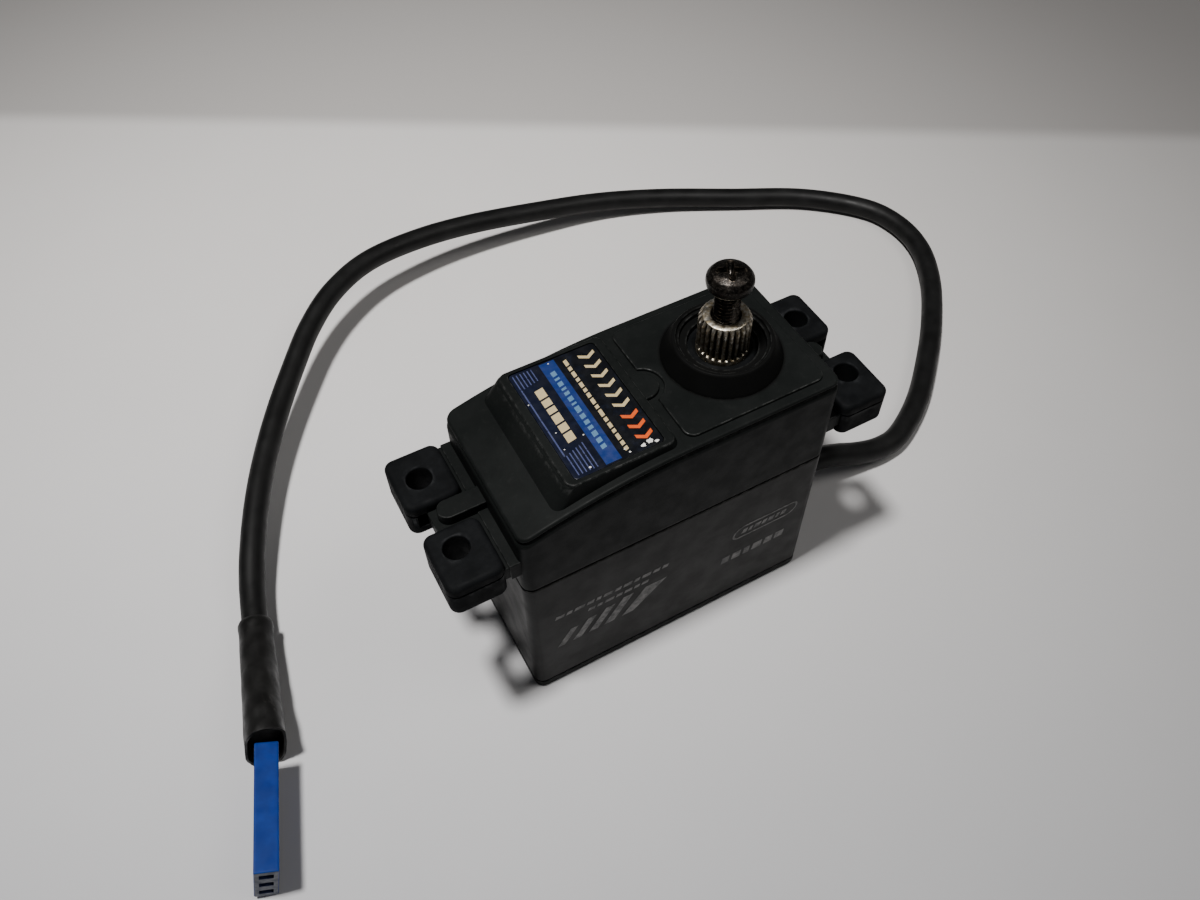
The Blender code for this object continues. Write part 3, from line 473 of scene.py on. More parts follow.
# ---- mesh helpers, mm ----
def wrap(name, work):
    mesh = bpy.data.meshes.new(name)
    work.to_mesh(mesh)
    work.free()
    item = bpy.data.objects.new(name, mesh)
    bpy.context.scene.collection.objects.link(item)
    return item


def skin(name, rings, cyclic=True, caps=True):
    """A skin over rings of equally many points. Its first and last ring are filled if caps is set."""
    work = bmesh.new()
    rows = [[work.verts.new(p) for p in row] for row in rings]
    count = len(rows[0])
    for near, far in zip(rows, rows[1:]):
        for i in range(count if cyclic else count - 1):
            j = (i + 1) % count
            work.faces.new((near[i], near[j], far[j], far[i]))
    if caps:
        work.faces.new(rows[0])
        work.faces.new(rows[-1])
    bmesh.ops.remove_doubles(work, verts=work.verts, dist=1e-5)
    bmesh.ops.recalc_face_normals(work, faces=work.faces)
    return wrap(name, work)


def arc(cx, cy, radius, start, end, steps):
    angles = [math.radians(start + (end - start) * i / steps) for i in range(steps + 1)]
    return [(cx + radius * math.cos(a), cy + radius * math.sin(a)) for a in angles]


def rounded(x0, y0, x1, y1, radius, steps=6):
    """A function that gives this rounded rectangle's outline, drawn in by an inset."""

    def outline(inset=0.0):
        r = max(radius - inset, 0.04)
        low_x, low_y, high_x, high_y = x0 + inset, y0 + inset, x1 - inset, y1 - inset
        return (
            arc(high_x - r, high_y - r, r, 0, 90, steps)
            + arc(low_x + r, high_y - r, r, 90, 180, steps)
            + arc(low_x + r, low_y + r, r, 180, 270, steps)
            + arc(high_x - r, low_y + r, r, 270, 360, steps)
        )

    return outline


def soft_prism(name, outline, low, high, top=0.2, bottom=0.2, steps=4, support=0.15):
    """An outline extruded from low to high, with rounded upper and lower edges."""
    rings = []

    def ring(inset, z):
        rings.append(at_height(outline(inset), z))

    ring(bottom + support, low)
    for k in range(steps + 1):
        a = math.pi / 2 * k / steps
        ring(bottom * (1 - math.sin(a)), low + bottom * (1 - math.cos(a)))
    if high - low > top + bottom + 2.5 * support:
        ring(0.0, low + bottom + support)
        ring(0.0, high - top - support)
    for k in range(steps + 1):
        a = math.pi / 2 * k / steps
        ring(top * (1 - math.cos(a)), high - top * (1 - math.sin(a)))
    ring(top + support, high)
    return skin(name, rings)


def at_height(loop, z):
    return [(x, y, z) for x, y in loop]


def plain_prism(name, loop, low, high):
    return skin(name, [at_height(loop, low), at_height(loop, high)])


def block(name, low, high):
    loop = [(low[0], low[1]), (high[0], low[1]), (high[0], high[1]), (low[0], high[1])]
    return plain_prism(name, loop, low[2], high[2])


def turned(name, profile, x=0.0, y=0.0, segments=64):
    """A turned piece about the vertical line at x, y, from a profile of (radius, z)."""
    rings = []
    for i in range(segments):
        a = 2 * math.pi * i / segments
        rings.append([(x + r * math.cos(a), y + r * math.sin(a), z) for r, z in profile])
    rings.append(rings[0])
    return skin(name, rings, cyclic=False, caps=False)


def rod(name, radius, low, high, x=0.0, y=0.0, segments=48):
    return turned(name, [(0.0, high), (radius, high), (radius, low), (0.0, low)], x, y, segments)


def round_corners(points, radii, steps=4):
    """The polyline with its corners rounded: a radius for each point, 0 for a sharp one."""
    out = []
    for i, (p, radius) in enumerate(zip(points, radii)):
        if radius <= 0:
            out.append(p)
            continue
        here = Vector(p)
        before = (Vector(points[i - 1]) - here).normalized()
        after = (Vector(points[i + 1]) - here).normalized()
        half = before.angle(after) / 2
        reach = radius / math.tan(half)
        centre = here + (before + after).normalized() * (radius / math.sin(half))
        start = here + before * reach - centre
        end = here + after * reach - centre
        for k in range(steps + 1):
            out.append(tuple(centre + start.slerp(end, k / steps).normalized() * radius))
    return out


def settle(item):
    """Applies the item's modifiers to its mesh."""
    bpy.context.view_layer.update()
    graph = bpy.context.evaluated_depsgraph_get()
    mesh = bpy.data.meshes.new_from_object(item.evaluated_get(graph))
    item.modifiers.clear()
    item.data = mesh
    return item


def combine(item, tools, operation="DIFFERENCE"):
    """Cuts, joins or trims the item with each tool in turn, and removes the tools."""
    for tool in tools:
        modifier = item.modifiers.new("boolean", "BOOLEAN")
        modifier.operation = operation
        modifier.object = tool
        modifier.solver = "EXACT"
    settle(item)
    for tool in tools:
        bpy.data.objects.remove(tool, do_unlink=True)
    return item


def merge(items):
    """The items' meshes in one object, as separate closed shells that do not touch."""
    work = bmesh.new()
    for item in items:
        work.from_mesh(item.data)
    name = items[0].name
    for item in items:
        bpy.data.objects.remove(item, do_unlink=True)
    return wrap(name, work)


def strips(item, start, stop, step):
    """Cuts the mesh's faces into strips, so that it can follow a curve."""
    work = bmesh.new()
    work.from_mesh(item.data)
    at = start
    while at < stop:
        everything = work.verts[:] + work.edges[:] + work.faces[:]
        bmesh.ops.bisect_plane(work, geom=everything, dist=1e-5, plane_co=(at, 0.0, 0.0),
                               plane_no=(1.0, 0.0, 0.0))
        at += step
    work.to_mesh(item.data)
    work.free()
    return item


def slope(x):
    """How far the case's top has dropped at x, towards the motor's end."""
    return max(0.0, 1.5 - x) ** 2 / 140.0


def drape(item, above):
    """Bends whatever lies above a height down along the case's curved top."""
    for v in item.data.vertices:
        if v.co.z > above:
            v.co.z -= slope(v.co.x)
    return item


def mark_edges(mesh):
    """Stores how sharply each point bulges, from 0 on a flat face to 1, for the lighter edge colours:
    rubbed, and on the black plastic partly a painted highlight.
    """
    work = bmesh.new()
    work.from_mesh(mesh)
    values = []
    for v in work.verts:
        sharpest = 0.0
        for edge in v.link_edges:
            if len(edge.link_faces) == 2:
                sharpest = max(sharpest, edge.calc_face_angle_signed(0.0))
        values.append(min(1.0, max(0.0, (sharpest - 0.10) / 0.30)))
    work.free()
    store(mesh, "edge_sharpness", values)


def store(mesh, name, values):
    found = mesh.attributes.get(name) or mesh.attributes.new(name, "FLOAT", "POINT")
    found.data.foreach_set("value", values)


def dress(item, body, look, replaces=(), angle=34, weighted=True):
    """Finishes a piece drawn in mm: metres, smooth shading, material, and its place in the frame."""
    mark_edges(item.data)
    item.data.transform(Matrix.Scale(MM, 4))
    item.data.shade_smooth()
    item.data.set_sharp_from_angle(angle=math.radians(angle))
    if weighted:
        modifier = item.modifiers.new("weighted_normals", "WEIGHTED_NORMAL")
        modifier.keep_sharp = True
    looks = [look] if isinstance(look, str) else look
    if len(item.data.materials) == 0:
        for name in looks:
            item.data.materials.append(LOOKS[name])
    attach(item, body)
    if replaces:
        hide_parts(*replaces)
    return item


# ---- the lead, laid along the CAD route ----
LEAD_ROUTE = [
    (26.4, 0.0, 6.0), (29.6, 0.0, 5.75), (33.2, -0.3, 4.6), (37.2, -0.8, 3.1), (41.4, -1.0, 2.1),
    (45.6, -0.1, 1.8), (52.2, 3.8, 1.75), (59.0, 9.7, 1.75), (65.4, 16.2, 1.75), (71.4, 23.8, 1.75),
    (75.0, 31.2, 1.75), (75.5, 38.3, 1.75), (72.9, 44.7, 1.75), (64.9, 52.2, 1.8), (53.6, 58.3, 2.0),
    (42.1, 64.0, 2.5), (31.2, 67.6, 3.4), (19.7, 69.3, 4.7), (7.1, 70.1, 6.4), (-3.3, 69.5, 7.7),
    (-12.5, 67.4, 8.6), (-19.8, 63.4, 8.7), (-25.6, 58.2, 8.1), (-30.7, 51.8, 7.3), (-35.7, 44.7, 6.6),
    (-39.9, 37.7, 6.1), (-43.2, 31.0, 5.7), (-45.8, 24.8, 5.1), (-47.3, 20.6, 4.5), (-48.2, 17.18, 4.22),
    (-48.58, 15.42, 4.25), (-48.81, 14.4, 4.276),
]
SLEEVE_START = Vector((-48.84, 14.25, 4.28))
SLEEVE_MOUTH = Vector((-52.6, -2.9, 4.75))
CONNECTOR_BACK = Vector((-52.86, -3.72, 4.47))
CONNECTOR_HEADING = Vector((-0.297, -0.955, 0.0))
CONNECTOR_LEAN = math.radians(15)
CONNECTOR_SIZE = (14.8, 2.7, 8.2)


def smooth_route(points, steps=10):
    """A smooth curve through the points, steps to each stretch."""
    points = [Vector(p) for p in points]
    ends = [2 * points[0] - points[1], *points, 2 * points[-1] - points[-2]]
    fine = []
    for i in range(1, len(ends) - 2):
        a, b, c, d = ends[i - 1 : i + 3]
        for step in range(steps):
            t = step / steps
            fine.append(
                0.5 * (2 * b + (c - a) * t + (2 * a - 5 * b + 4 * c - d) * t * t
                       + (3 * b - a - 3 * c + d) * t * t * t)
            )
    fine.append(points[-1])
    return fine


def tube_mesh(name, route, radius, around=24):
    """A round tube along a route, carried along without twist."""
    rings = []
    side = Vector((0.0, 1.0, 0.0))
    for i, point in enumerate(route):
        ahead = (route[min(i + 1, len(route) - 1)] - route[max(i - 1, 0)]).normalized()
        side = (side - ahead * side.dot(ahead)).normalized()
        up = ahead.cross(side)
        # the jacket is drawn unevenly, by a few hundredths of a millimetre
        r = radius * (1.0 + 0.006 * noise.noise(Vector((i * 0.11, 0.0, 3.0))))
        rings.append([
            point + (side * math.cos(a) + up * math.sin(a)) * r
            for a in (2 * math.pi * k / around for k in range(around))
        ])
    return skin(name, rings)


def make_lead():
    route = smooth_route(LEAD_ROUTE)
    length = sum((b - a).length for a, b in zip(route, route[1:]))
    lead = tube_mesh("lead", route, CABLE_DIAMETER / 2 - 0.01)
    dress(lead, "case", "jacket", ["lead_cable"], weighted=False)
    return lead, [tuple(p * MM) for p in route], length * MM


def oval(half_width, half_height, power, count=48):
    points = []
    for i in range(count):
        angle = 2 * math.pi * (i + 0.5) / count
        c = math.cos(angle)
        s = math.sin(angle)
        points.append((half_width * math.copysign(abs(c) ** (2 / power), c),
                       half_height * math.copysign(abs(s) ** (2 / power), s)))
    return points


def between(table, share):
    """The table's row at this share, its numbers blended smoothly between the rows on either side."""
    for (s0, *low), (s1, *high) in zip(table, table[1:]):
        if share <= s1:
            t = (share - s0) / (s1 - s0)
            t = t * t * (3 - 2 * t)
            return [a + (b - a) * t for a, b in zip(low, high)]
    return list(table[-1][1:])


def make_sleeve():
    """Heat-shrink tube: tight on the cable with a curled lip, then wrinkled and flared to its open mouth."""
    along = SLEEVE_MOUTH - SLEEVE_START
    forward = along.normalized()
    side = Vector((0.0, 0.0, 1.0)).cross(forward).normalized()
    up = forward.cross(side)
    table = [(0.0, 2.02, 2.02, 2.0), (0.03, 2.22, 2.22, 2.0), (0.10, 2.12, 2.2, 2.0), (0.3, 2.2, 2.6, 2.1),
             (0.6, 2.3, 3.7, 2.4), (0.85, 2.4, 4.5, 2.8), (1.0, 2.45, 4.7, 3.0)]
    outside = [i / 44 for i in range(45)]
    inside = [1.0, 0.97, 0.93, 0.88]
    rings = []
    mouths = []
    for number, share in enumerate([*outside, *inside]):
        inner = number >= len(outside)
        width, height, power = between(table, share)
        wall = 0.38 if inner else 0.0
        if inner and number == len(outside):
            wall = 0.30
        lean = -CONNECTOR_LEAN * share
        across = side * math.cos(lean) + up * math.sin(lean)
        upright = up * math.cos(lean) - side * math.sin(lean)
        ragged = 0.0
        centre = SLEEVE_START + along * share
        ring = []
        for u, v in oval(width - wall, height - wall, power):
            point = centre + across * u + upright * v
            crease = noise.noise(Vector((u * 0.9, v * 0.8, share * 7.0)))
            depth = 0.13 * share * crease * (0.4 if inner else 1.0)
            if share > 0.97:
                ragged = 0.22 * noise.noise(Vector((u * 0.8, v * 0.8, 9.0)))
            outward = (across * u + upright * v).normalized()
            curl = ragged - 0.12 if share > 0.97 else 0.0
            point = point + outward * (depth - 0.05 * share) + forward * curl
            ring.append(point)
        rings.append(ring)
        mouths += [share ** 3] * len(ring)
    tube = skin("shrink_sleeve", rings)
    if len(tube.data.vertices) == len(mouths):
        store(tube.data, "mouth", mouths)
    return dress(tube, "case", "shrink", ["heat_shrink_sleeve"], 50, weighted=False)


def connector_place():
    heading = CONNECTOR_HEADING.normalized()
    turn = Matrix.Rotation(math.atan2(heading.y, heading.x), 4, "Z")
    return Matrix.Translation(CONNECTOR_BACK) @ turn @ Matrix.Rotation(-CONNECTOR_LEAN, 4, "X")


def make_connector():
    """The blue three-way housing: soft edges, latch windows and three sockets."""
    length, width, height = CONNECTOR_SIZE
    outline = rounded(0.0, -width / 2, length, width / 2, 0.18, 3)
    housing = soft_prism("connector", outline, -height / 2, height / 2, 0.16, 0.16, 3, 0.1)
    tools = []
    for number in range(3):
        z = (number - 1) * 2.54
        tools.append(block("socket", (length - 9.0, -0.78, z - 0.62), (length + 1, 0.78, z + 0.62)))
        tools.append(block("latch", (4.2, width / 2 - 0.25, z - 0.6), (6.4, width / 2 + 1, z + 0.6)))
    for z in (-1.27, 1.27):
        tools.append(block("seam", (length - 5.5, -width / 2 - 1, z - 0.07),
                           (length + 1, -width / 2 + 0.12, z + 0.07)))
    tools.append(block("back_pocket", (-1.0, -0.85, -3.3), (0.9, 0.85, 3.3)))
    combine(housing, tools)
    for name in ("connector", "end_face", "socket"):
        housing.data.materials.append(LOOKS[name])
    # faces inside the sockets and the back pocket get the darker blue: painted shade
    for face in housing.data.polygons:
        centre = face.center
        if face.normal.x > 0.9 and centre.x > length - 0.02:
            face.material_index = 1
        elif abs(centre.y) < 0.8 and 5.0 < centre.x < length - 0.02 and abs(centre.z) < 3.3:
            face.material_index = 2
        elif centre.x < 0.95 and abs(centre.y) < 0.86 and abs(centre.z) < 3.35 and centre.x > 0.01:
            face.material_index = 2
    housing.data.transform(connector_place())
    return dress(housing, "case", "connector", ["connector_housing"])


def make_cord():
    lead, path, length = make_lead()
    sleeve = make_sleeve()
    connector = make_connector()


make_cord()


# ---- case ----
CASE_WALL = 1.2
ROOM_X = CASE_X - CASE_WALL
ROOM_Y = CASE_Y - CASE_WALL
CASE_OUTLINE = rounded(-CASE_X, -CASE_Y, CASE_X, CASE_Y, CASE_CORNER)
ROOM_OUTLINE = rounded(-ROOM_X, -ROOM_Y, ROOM_X, ROOM_Y, 0.4)


def screw_places():
    return [(side * CASE_SCREW_X, end * CASE_SCREW_Y) for side in (-1, 1) for end in (-1, 1)]


def make_bottom_cover():
    cover = soft_prism("base_cover", CASE_OUTLINE, 0.0, BOTTOM_COVER_TOP, 0.10, 0.38, 4, 0.12)
    inner = rounded(-18.7, -8.7, 18.7, 8.7, 0.8)
    tools = [soft_prism("plate", inner, 0.9, 1.9, 0.1, 0.1, 2, 0.05)]
    combine(cover, tools, "UNION")
    cuts = []
    for x, y in screw_places():
        profile = [(0.0, 4.0), (0.95, 4.0), (0.95, 1.75), (1.25, 1.75), (1.25, 0.12), (1.40, -0.05),
                   (1.40, -1.0), (0.0, -1.0)]
        cuts.append(turned("counterbore", profile, x, y, 36))
    ring = rounded(-16.2, -5.4, 16.2, 5.4, 1.0)
    field = soft_prism("shallow_panel", ring, -1.0, 0.18, 0.1, 0.1, 3, 0.1)
    cuts.append(field)
    combine(cover, cuts)
    dress(cover, "case", "plastic", ["bottom_cover"])


def make_middle_case():
    case = soft_prism("middle_shell", CASE_OUTLINE, MIDDLE_LOW, MIDDLE_HIGH, 0.12, 0.12, 3, 0.12)
    inner = ROOM_OUTLINE
    tools = [
        plain_prism("room", inner(), 0.0, 30.0),
        block("gland_window", (17.0, -2.7, 3.3), (22.0, 2.7, 8.7)),
    ]
    combine(case, tools)
    strips(case, -19.0, 19.5, 3.0)
    dress(case, "case", "case", ["middle_case"])

PRINT_LEAN = 0.35
PRINT_LEVELS = (-CASE_Y + 0.01, -CASE_Y - 0.02)


def slanted(width, height, lean):
    """A leaning bar's outline, from its lower left corner."""
    return [(0.0, 0.0), (width, 0.0), (width + lean * height, height), (lean * height, height)]


def side_plate(name, loop):
    """A thin print on the case's -Y side, from an outline in X and Z."""
    return skin(name, [[(x, y, z) for x, z in loop] for y in PRINT_LEVELS])


def make_side_print():
    """Generic marks in place of the maker's lettering: dashes, slanted bars, a wedge and a capsule."""
    marks = []

    def row(name, widths, gap, height, lean, x, z):
        for width in widths:
            marks.append(side_plate(name, [(px + x, pz + z) for px, pz in slanted(width, height, lean)]))
            x += width + gap

    row("dash", (1.1, 0.7, 1.3, 0.9, 0.6, 1.2, 0.8, 1.1, 0.7, 1.2, 0.9, 0.8), 0.36, 0.62, PRINT_LEAN, -16.9,
        15.9)
    row("dash", (0.9, 0.7, 1.2, 0.8, 1.0, 0.7, 0.9), 0.34, 0.55, PRINT_LEAN, -12.6, 14.4)
    for number in range(4):
        # the bars grow towards the output's end
        row("bar", [1.05 + 0.12 * number], 0.0, 3.1 + 0.45 * number, 0.62, -16.9 + 2.15 * number, 9.0)
    marks.append(side_plate("wedge", [(-7.9, 9.0), (-6.3, 9.0), (-1.6, 13.4), (-4.6, 13.4)]))
    capsule = capsule_outline(7.9, 17.4, 13.6, 17.2, 1.25)
    inner = capsule_outline(8.15, 17.15, 13.85, 16.95, 1.0)
    marks.append(ring_plate("capsule", capsule, inner))
    row("dash", (0.7, 0.5, 0.9, 0.6, 0.8, 0.5, 0.7), 0.3, 0.8, PRINT_LEAN, 9.1, 15.0)
    row("block", (1.1, 1.3, 0.9, 1.4, 1.2, 1.3), 0.45, 1.35, 0.12, 6.6, 9.6)
    prints = merge(marks)
    prints.name = "side_marks"
    dress(prints, "case", "print", weighted=False)


def capsule_outline(x0, x1, z0, z1, radius):
    """A leaning capsule's outline, in X and Z."""
    middle = (z0 + z1) / 2
    loop = arc(x1 - radius, middle, radius, -90, 90, 10) + arc(x0 + radius, middle, radius, 90, 270, 10)
    return [(x + PRINT_LEAN * (z - middle), z) for x, z in loop]


def ring_plate(name, outer, inner):
    """A thin closed frame between two outlines on the case's -Y side."""
    work = bmesh.new()
    levels = []
    for y in PRINT_LEVELS:
        levels.append([[work.verts.new((x, y, z)) for x, z in loop] for loop in (outer, inner)])
    count = len(outer)
    (out_low, in_low), (out_high, in_high) = levels
    for i in range(count):
        j = (i + 1) % count
        work.faces.new((out_low[i], out_low[j], in_low[j], in_low[i]))
        work.faces.new((out_high[i], in_high[i], in_high[j], out_high[j]))
        work.faces.new((out_low[i], out_high[i], out_high[j], out_low[j]))
        work.faces.new((in_low[i], in_low[j], in_high[j], in_high[i]))
    bmesh.ops.recalc_face_normals(work, faces=work.faces)
    return wrap(name, work)


def ear_outline(side):
    """One ear with its two open slots, its outer corners rounded."""
    near, far = HOLE_Y - SLOT_HALF_WIDTH, HOLE_Y + SLOT_HALF_WIDTH
    half = [(26.0, 0.0), (26.0, near), (SLOT_X, near), (SLOT_X, far), (27.0, far), (27.0, 9.2), (19.0, 9.2)]
    radii = [0.0, 0.35, 0.3, 0.3, 0.35, 0.6, 0.0]
    upper = round_corners(half, radii, 4)[1:]
    loop = upper + [(x, -y) for x, y in reversed(upper)]
    return [(side * x, y) for x, y in loop]


def flat_with_soft_edges(name, loop, low, high, radius):
    """A flat piece from a free outline, whose upper and lower edges are drawn in a little."""
    item = plain_prism(name, loop, low, high)
    modifier = item.modifiers.new("soft_edges", "BEVEL")
    modifier.width = radius
    modifier.segments = 3
    modifier.limit_method = "ANGLE"
    modifier.angle_limit = math.radians(60)
    modifier.use_clamp_overlap = True
    return settle(item)


def make_gear_case():
    rings = []
    low = 0.22
    for inset, z in [(low + 0.15, GEAR_CASE_LOW)] + [
        (low * (1 - math.sin(math.pi / 2 * k / 4)),
         GEAR_CASE_LOW + low * (1 - math.cos(math.pi / 2 * k / 4)))
        for k in range(5)
    ]:
        rings.append(at_height(CASE_OUTLINE(inset), z))
    rings.append(at_height(CASE_OUTLINE(), GEAR_CASE_LOW + 0.45))
    rings.append(at_height(CASE_OUTLINE(), 32.2))
    # the wall's top rolls inwards below the cover's lip
    for inset, z in ((0.0, WALL_TOP - 0.75), (0.0, WALL_TOP - 0.62), (0.04, WALL_TOP - 0.42),
                     (0.14, WALL_TOP - 0.24),
                     (0.30, WALL_TOP - 0.10), (0.50, WALL_TOP - 0.02), (0.70, WALL_TOP)):
        rings.append(at_height(CASE_OUTLINE(inset), z))
    case = skin("upper_case", rings)
    room = plain_prism("gear_room", ROOM_OUTLINE(), GEAR_FLOOR_TOP, 50.0)
    pillars = []
    for x, y in screw_places():
        pillars.append(rod("pillar", 1.55, 20.0, 32.0, x, y, 24))
        low_x, high_x = sorted((x, x + math.copysign(3, x)))
        low_y, high_y = sorted((y, y + math.copysign(3, y)))
        pillars.append(block("pillar_corner", (low_x, low_y, 20.0), (high_x, high_y, 32.0)))
    combine(room, pillars)
    holes = [room]
    holes += [rod("screw_hole", 0.95, 20.0, 31.0, x, y, 24) for x, y in screw_places()]
    holes.append(rod("motor_boss_hole", 2.6, 20.0, 27.0, MOTOR_X))
    holes.append(rod("lower_bearing_seat", 3.55, 20.0, 27.0, OUTPUT_X))
    holes.append(rod("idler_pin_hole", 0.85, 25.0, 27.0, IDLER_X))
    holes += [rod("motor_screw_hole", 0.7, 20.0, 27.0, MOTOR_X, y, 24) for y in (-5.0, 5.0)]
    combine(case, holes)
    strips(case, -19.0, 1.6, 1.0)
    drape(case, 33.5)
    joins = []
    for side in (-1, 1):
        joins.append(flat_with_soft_edges("ear", ear_outline(side), EAR_LOW, EAR_HIGH, 0.16))
        end = arc(RIB_END_X, 0.0, RIB_HALF_WIDTH, -90, 90, 16)[1:-1]
        end = [(RIB_END_X, -RIB_HALF_WIDTH), *end, (RIB_END_X, RIB_HALF_WIDTH)]
        rib = [(side * x, y) for x, y in [(19.0, -RIB_HALF_WIDTH), *end, (19.0, RIB_HALF_WIDTH)]]
        joins.append(flat_with_soft_edges("ear_rib", rib, EAR_HIGH - 0.5, GROMMET_HIGH - 0.1, 0.14))
        # a thin web ties the ear's flange to the wall
        web = [(side * x, y) for x, y in ((19.2, -9.3), (21.15, -9.3), (21.15, 9.3), (19.2, 9.3))]
        joins.append(flat_with_soft_edges("ear_root", web, EAR_LOW - 0.3, EAR_HIGH + 0.25, 0.15))
    combine(case, joins, "UNION")
    dress(case, "case", "plastic", ["gear_case"])


def output_pad(inset=0.0):
    """The raised pad around the shaft, with a round bay for the tab on the label's side."""
    left = OUTPUT_PAD_LEFT + inset
    bay = BAY_RADIUS + inset
    angle = math.degrees(math.acos(left / bay))
    corners = rounded(OUTPUT_PAD_LEFT, -8.7, 18.5, 8.7, 1.2)(inset)
    return corners[:14] + arc(0.0, 0.0, bay, angle, -angle, 24) + corners[14:]


def round_tab(inset=0.0):
    r = TAB_RADIUS - inset
    return [(-0.8, -r)] + arc(0.0, 0.0, r, -90, 90, 24) + [(-0.8, r)]


def label_pad():
    """The raised block under the label, with sloping sides and a slanted rear face."""
    def level(z, inset=0.0, corner=1.0):
        t = (z - 35.36) / (LABEL_PAD_TOP - 35.36)
        x0 = -15.6 + 2.1 * t + inset
        x1 = -0.3 - 0.3 * max(0.0, min(1.0, (z - 37.4) / 1.2)) - inset
        y = 9.2 - 0.55 * (z - 34.0) / 5.1 - inset
        r = max(corner - inset, 0.1)
        return [(px, py, z) for px, py in rounded(x0, -y, x1, y, r)(0.0)]

    top = 0.26
    rings = [
        [(x, y, LID_TOP - 0.3 - slope(x)) for x, y, _ in level(35.3, 0.0, 1.1)],
        level(36.4, 0.0, 1.05),
        level(LABEL_PAD_TOP - top - 0.2),
    ]
    # the lowest ring follows the curved cover, so the next keeps above it
    rings[1] = [(x, y, max(z, low[2] + 0.1)) for (x, y, z), low in zip(rings[1], rings[0])]
    for k in range(5):
        a = math.pi / 2 * k / 4
        rings.append([(x, y, LABEL_PAD_TOP - top * (1 - math.sin(a)))
                      for x, y, _ in level(LABEL_PAD_TOP, top * (1 - math.cos(a)))])
    rings.append([(x, y, LABEL_PAD_TOP) for x, y, _ in level(LABEL_PAD_TOP, top + 0.12)])
    return skin("label_pad", rings)


def make_top_cover():
    x = CASE_X - LID_INSET
    y = CASE_Y - LID_INSET
    # a full round on the upper edge makes the lip that catches the light
    cover = soft_prism("lid", rounded(-x, -y, x, y, 1.3), LID_LOW, LID_TOP, 0.30, 0.16, 5, 0.14)
    strips(cover, -19.6, 1.6, 0.8)
    drape(cover, 30.0)
    plug = plain_prism("plug", rounded(-18.65, -8.65, 18.65, 8.65, 0.4)(), LID_LOW - 0.65, LID_LOW + 0.25)
    strips(plug, -18.4, 1.6, 0.8)
    drape(plug, 30.0)
    pad = soft_prism("output_pad", output_pad, LID_TOP - 0.3, OUTPUT_PAD_TOP, 0.16, 0.0, 4, 0.12)
    tab = soft_prism("round_tab", round_tab, LID_TOP - 0.3, OUTPUT_PAD_TOP + 0.1, 0.16, 0.0, 4, 0.12)
    # loops just below the rim keep the lighter edge line thin, partly rubbed and partly painted highlight
    points = [(0.0, 40.5), (5.50, 40.5), (5.66, 40.5), (5.80, 40.34), (5.86, 40.22), (6.0, 39.94),
              (6.80, 38.42),
              (6.95, 38.12), (6.95, 36.2), (0.0, 36.2)]
    boss = turned("boss", round_corners(points, [0, 0, 0.06, 0.06, 0, 0, 0, 0, 0, 0], 3), OUTPUT_X, 0.0, 96)
    combine(cover, [plug, label_pad(), tab, pad, boss], "UNION")
    bore = [(0.0, 41.0), (5.34, 41.0), (5.30, 40.50), (5.24, 40.42), (5.22, 40.16), (4.98, 40.14),
            (4.88, 40.06),
            (4.84, 39.62), (4.0, 39.60), (3.98, 38.65), (4.75, 38.65), (4.75, 35.0), (0.0, 35.0)]
    recess = soft_prism("label_recess", rounded(*LABEL_RECESS, 0.5), LABEL_PAD_TOP - 0.3, 50.0, 0.0, 0.06, 3,
                        0.1)
    combine(cover, [
        turned("bore", bore, OUTPUT_X, 0.0, 96),
        recess,
        rod("idler_socket", 0.85, 35.0, 37.0, IDLER_X, 0.0, 32),
    ])
    dress(cover, "case", "plastic", ["top_cover"])


# ---- label ----
def flat_print(name, loop, look_index, height=0.018):
    low = LABEL_FACE - 0.01
    item = skin(name, [at_height(loop, low), at_height(loop, LABEL_FACE + height)])
    for face in item.data.polygons:
        face.material_index = look_index
    return item


